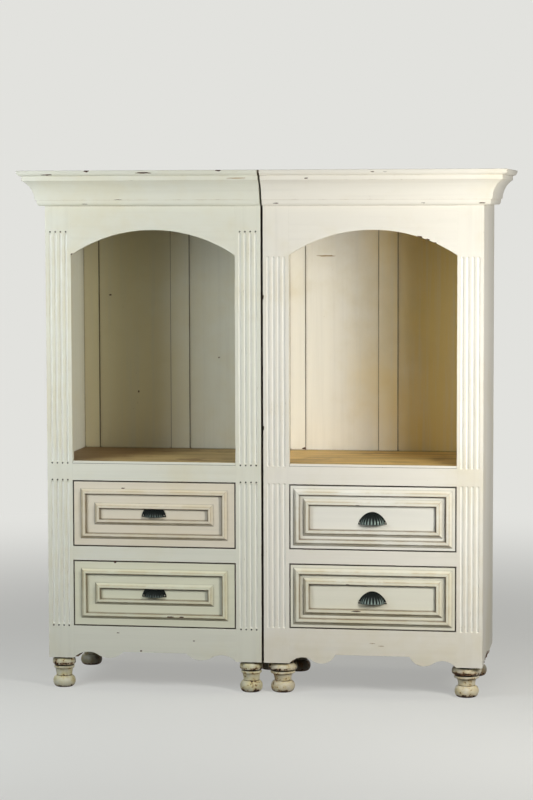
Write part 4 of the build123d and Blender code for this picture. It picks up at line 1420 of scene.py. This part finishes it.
class ARMOIRE_OT_feet(Operator):
    """Turn the eight feet"""

    bl_idname = "armoire.feet"
    bl_label = "Turned feet"

    def profile(self, sizes, top):
        """Radius and height of each point from the sole to the tenon."""
        belly, neck, flare, ring, pad = sizes.belly, sizes.neck, sizes.flare, sizes.ring, sizes.pad
        axis, tenon, tenon_top = 0.0005, 0.012, top + 0.04
        points = [(axis, 0.0)]
        steps = 18
        for index in range(steps + 1):
            turn = math.pi * (index / steps - 0.5)
            swell = PINCH + (1 - PINCH) * math.cos(turn)
            points.append((belly * swell, BELLY_MIDDLE * (1 + math.sin(turn))))
        points += [(neck, 2 * BELLY_MIDDLE + 0.0016)]
        handles = (neck, 0.052), (flare - 0.001, 0.059)
        points += curve_points(points[-1], *handles, (flare, RING_FOOT - 0.001), 7)
        points += [(0.96 * ring, RING_FOOT)]
        handles = (1.01 * ring, RING_FOOT), (1.01 * ring, RING_TOP)
        points += curve_points(points[-1], *handles, (0.96 * ring, RING_TOP), 6)
        points += [(0.80 * ring, GROOVE - 0.0010), (0.80 * ring, GROOVE + 0.0008), (0.90 * pad, PAD_FOOT)]
        points += curve_points(points[-1], (pad, 0.081), (1.01 * pad, 0.090), (pad, 0.0925), 7)
        points += curve_points(points[-1], (0.99 * pad, 0.099), (0.93 * pad, 0.104), (0.78 * pad, PAD_TOP), 7)
        points += [(0.76 * pad, top), (tenon, top), (tenon, tenon_top), (axis, tenon_top)]
        return points

    def execute(self, context):
        for side in SIDES:
            sizes = section_sizes(side)
            corners = [*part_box(f"{side}_inner_stile"), *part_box(f"{side}_outer_stile")]
            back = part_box(f"{side}_back_frame")[1].y
            cream = section_cream(side)
            finishes = {
                "front": shared(f"{side}_foot_paint", foot_paint, cream),
                # The rear feet get a darker copy of the paint, a painted shade.
                "rear": shared(f"{side}_rear_foot_paint", foot_paint, scaled(cream, REAR_FEET_SHADE)),
            }
            reach = sorted(abs(corner.x) for corner in corners)
            columns = {"inner": reach[0] + sizes.foot_inset, "outer": reach[-1] - sizes.foot_inset}
            rows = {"front": FACE + sizes.foot_inset, "rear": back - sizes.foot_inset}
            section = self.profile(sizes, corners[0].z)
            for row, y in rows.items():
                for column, x in columns.items():
                    self.foot(f"{side}_{column}_{row}_foot", WAYS[side] * x, y, section, finishes[row])
        return {"FINISHED"}

    def foot(self, name, x, y, section, material):
        """One foot, a little out of true as hand turning and wear leave it."""
        sides, unevenness, bumps, sharp = 56, 0.0006, 45, 38
        outlines = []
        for radius, z in section:
            outline = []
            for index in range(sides):
                turn = 2 * math.pi * index / sides
                spot = Vector((x + radius * math.cos(turn), y + radius * math.sin(turn), z))
                wobble = unevenness * noise.noise(spot * bumps) if 0.0 < z < PAD_TOP else 0.0
                spot.x += wobble * math.cos(turn)
                spot.y += wobble * math.sin(turn)
                outline.append(spot)
            outlines.append(outline)
        build = bmesh.new()
        bar(build, outlines)
        new_piece(name, mesh_of(build, name), material, "carcass", "feet", sharp)


class ARMOIRE_OT_bolts(Operator):
    """Finish the bolts and packing pieces between the sections"""

    bl_idname = "armoire.bolts"
    bl_label = "Section bolts"

    def execute(self, context):
        steel = shared("bolt_steel_dull", dull_steel, tuple(context.scene.armoire_metal.bolt))
        soften("section_bolts", steel)
        soften("section_spacers", bare_wood("inner", "upright", UPRIGHT))
        return {"FINISHED"}


class ARMOIRE_OT_knocks(Operator):
    """Break the paint away where the armoire was knocked"""

    bl_idname = "armoire.knocks"
    bl_label = "Knocks"

    def lumps(self, name, spots):
        """A mesh of ragged lumps, one at each knocked place."""
        coarse, fine, finer_by = 0.45, 0.25, 2.7
        within, between = 3, 70
        build = bmesh.new()
        for place in spots:
            middle, size = Vector(place[:3]), Vector(place[3:])
            made = bmesh.ops.create_icosphere(build, subdivisions=3, radius=0.5)
            for point in made["verts"]:
                grain = point.co * within + middle * between
                ragged = 1 + coarse * noise.noise(grain) + fine * noise.noise(grain * finer_by)
                point.co = middle + Vector(c * s for c, s in zip(point.co, size)) * ragged
        return mesh_of(build, name)

    def cut(self, name, spots, material, kind):
        """Take the lumps out of one piece, and show the wood or undercoat in the hollows."""
        piece = bpy.data.objects[name] if name in bpy.data.objects else frame["nodes"][name]
        piece.data.materials.append(material)
        mesh = self.lumps(f"{name}_{kind}", spots)
        for finish in piece.data.materials:
            mesh.materials.append(finish)
        for face in mesh.polygons:
            face.material_index = len(mesh.materials) - 1
        lumps = placed(mesh.name, mesh)
        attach(lumps, body_of(piece)[0])
        lumps.hide_render = True
        hollow = subtract(piece, lumps, kind)
        hollow.use_self = True
        hollow.material_mode = "INDEX"

    def execute(self, context):
        paint = context.scene.armoire_paint
        bare, rubbed = tuple(paint.bare), tuple(paint.rubbed)
        broken = shared("broken_wood", plain_wood, scaled(bare, 1.6), bare, DEEP)
        scratched = shared("scratched_paint", plain_wood, rubbed, scaled(rubbed, 0.5), LEVEL)
        for name, spots in CHIPS.items():
            self.cut(name, spots, broken, "chips")
        for name, spots in SCRATCHES.items():
            self.cut(name, spots, scratched, "scratches")
        return {"FINISHED"}


class ARMOIRE_OT_stage(Operator):
    """Set the floor, the soft boxes and the camera"""

    bl_idname = "armoire.stage"
    bl_label = "Stage"

    def execute(self, context):
        stage = context.scene.armoire_stage
        context.scene.view_settings.view_transform = "Standard"
        context.scene.world = studio_room("studio_room", tuple(stage.floor), stage.room_light)
        self.floor(stage)
        for name, box in SOFT_BOXES.items():
            lamp = self.soft_box(f"{name}_soft_box", getattr(stage, f"{name}_light"), *box)
            if name == "rear":
                lamp.light_linking.receiver_collection = self.pieces()
        self.camera(stage)
        return {"FINISHED"}

    def floor(self, stage):
        """A wide flat pale floor."""
        half = 60.0
        corners = [(-half, -half, 0.0), (half, -half, 0.0), (half, half, 0.0), (-half, half, 0.0)]
        mesh = bpy.data.meshes.new("studio_floor")
        mesh.from_pydata(corners, [], [(0, 1, 2, 3)])
        mesh.materials.append(pale_paper("studio_floor", tuple(stage.floor), stage.paper))
        placed("studio_floor", mesh)

    def pieces(self):
        """A collection of every piece, for a lamp that spares the floor."""
        pieces = bpy.data.collections.new("lit_pieces")
        for piece in bpy.context.scene.objects:
            if piece.type == "MESH" and piece.name != "studio_floor":
                pieces.objects.link(piece)
        return pieces

    def soft_box(self, name, watts, place, aim, size, tint):
        """A soft box that faces the armoire and doesn't show itself."""
        lamp = bpy.data.lights.new(name, "AREA")
        lamp.shape = "RECTANGLE"
        lamp.size, lamp.size_y = size
        lamp.energy = watts
        lamp.color = tint
        box = placed(name, lamp)
        box.location = place
        box.rotation_mode = "QUATERNION"
        box.rotation_quaternion = (Vector(aim) - Vector(place)).to_track_quat("-Z", "Y")
        box.visible_camera = False
        return box

    def camera(self, stage):
        """The camera, turned, tilted and rolled about its own place."""
        lens = bpy.data.cameras.new("camera")
        lens.lens = stage.camera_lens
        lens.sensor_width = FRAME_WIDTH
        eye = placed("camera", lens)
        turn = Matrix.Rotation(stage.camera_turn, 4, "Z")
        tilt = Matrix.Rotation(math.pi / 2 - stage.camera_tilt, 4, "X")
        roll = Matrix.Rotation(stage.camera_roll, 4, "Z")
        eye.matrix_world = Matrix.Translation(stage.camera_place) @ turn @ tilt @ roll
        bpy.context.scene.camera = eye


class ARMOIRE_PT_panel(Panel):
    """Sizes, colours and steps of the armoire"""

    bl_label = "Armoire"
    bl_idname = "ARMOIRE_PT_panel"
    bl_space_type = "VIEW_3D"
    bl_region_type = "UI"
    bl_category = "Armoire"

    def draw(self, context):
        for attribute in GROUPS:
            box = self.layout.box()
            group = getattr(context.scene, attribute)
            for name in group.__annotations__:
                box.prop(group, name)
        for step in STEPS:
            self.layout.operator(step.bl_idname)


GROUPS = {
    "armoire_paint": ArmoirePaint,
    "armoire_wood": ArmoireWood,
    "armoire_metal": ArmoireMetal,
    "armoire_shape": ArmoireShape,
    "armoire_left": LeftSection,
    "armoire_right": RightSection,
    "armoire_stage": ArmoireStage,
}
STEPS = (
    ARMOIRE_OT_face_frame,
    ARMOIRE_OT_stiles,
    ARMOIRE_OT_cornice,
    ARMOIRE_OT_case_boards,
    ARMOIRE_OT_shelves,
    ARMOIRE_OT_drawers,
    ARMOIRE_OT_drawer_mouldings,
    ARMOIRE_OT_pulls,
    ARMOIRE_OT_pull_screws,
    ARMOIRE_OT_feet,
    ARMOIRE_OT_bolts,
    ARMOIRE_OT_knocks,
    ARMOIRE_OT_stage,
)


def register():
    for group in GROUPS.values():
        bpy.utils.register_class(group)
    for step in STEPS:
        bpy.utils.register_class(step)
    bpy.utils.register_class(ARMOIRE_PT_panel)
    for attribute, group in GROUPS.items():
        setattr(bpy.types.Scene, attribute, PointerProperty(type=group))


def unregister():
    for attribute in GROUPS:
        delattr(bpy.types.Scene, attribute)
    bpy.utils.unregister_class(ARMOIRE_PT_panel)
    for group in (*reversed(STEPS), *reversed(GROUPS.values())):
        bpy.utils.unregister_class(group)


def main():
    register()
    for step in STEPS:
        getattr(bpy.ops.armoire, step.bl_idname.split(".")[1])()


if __name__ == "__main__":
    main()
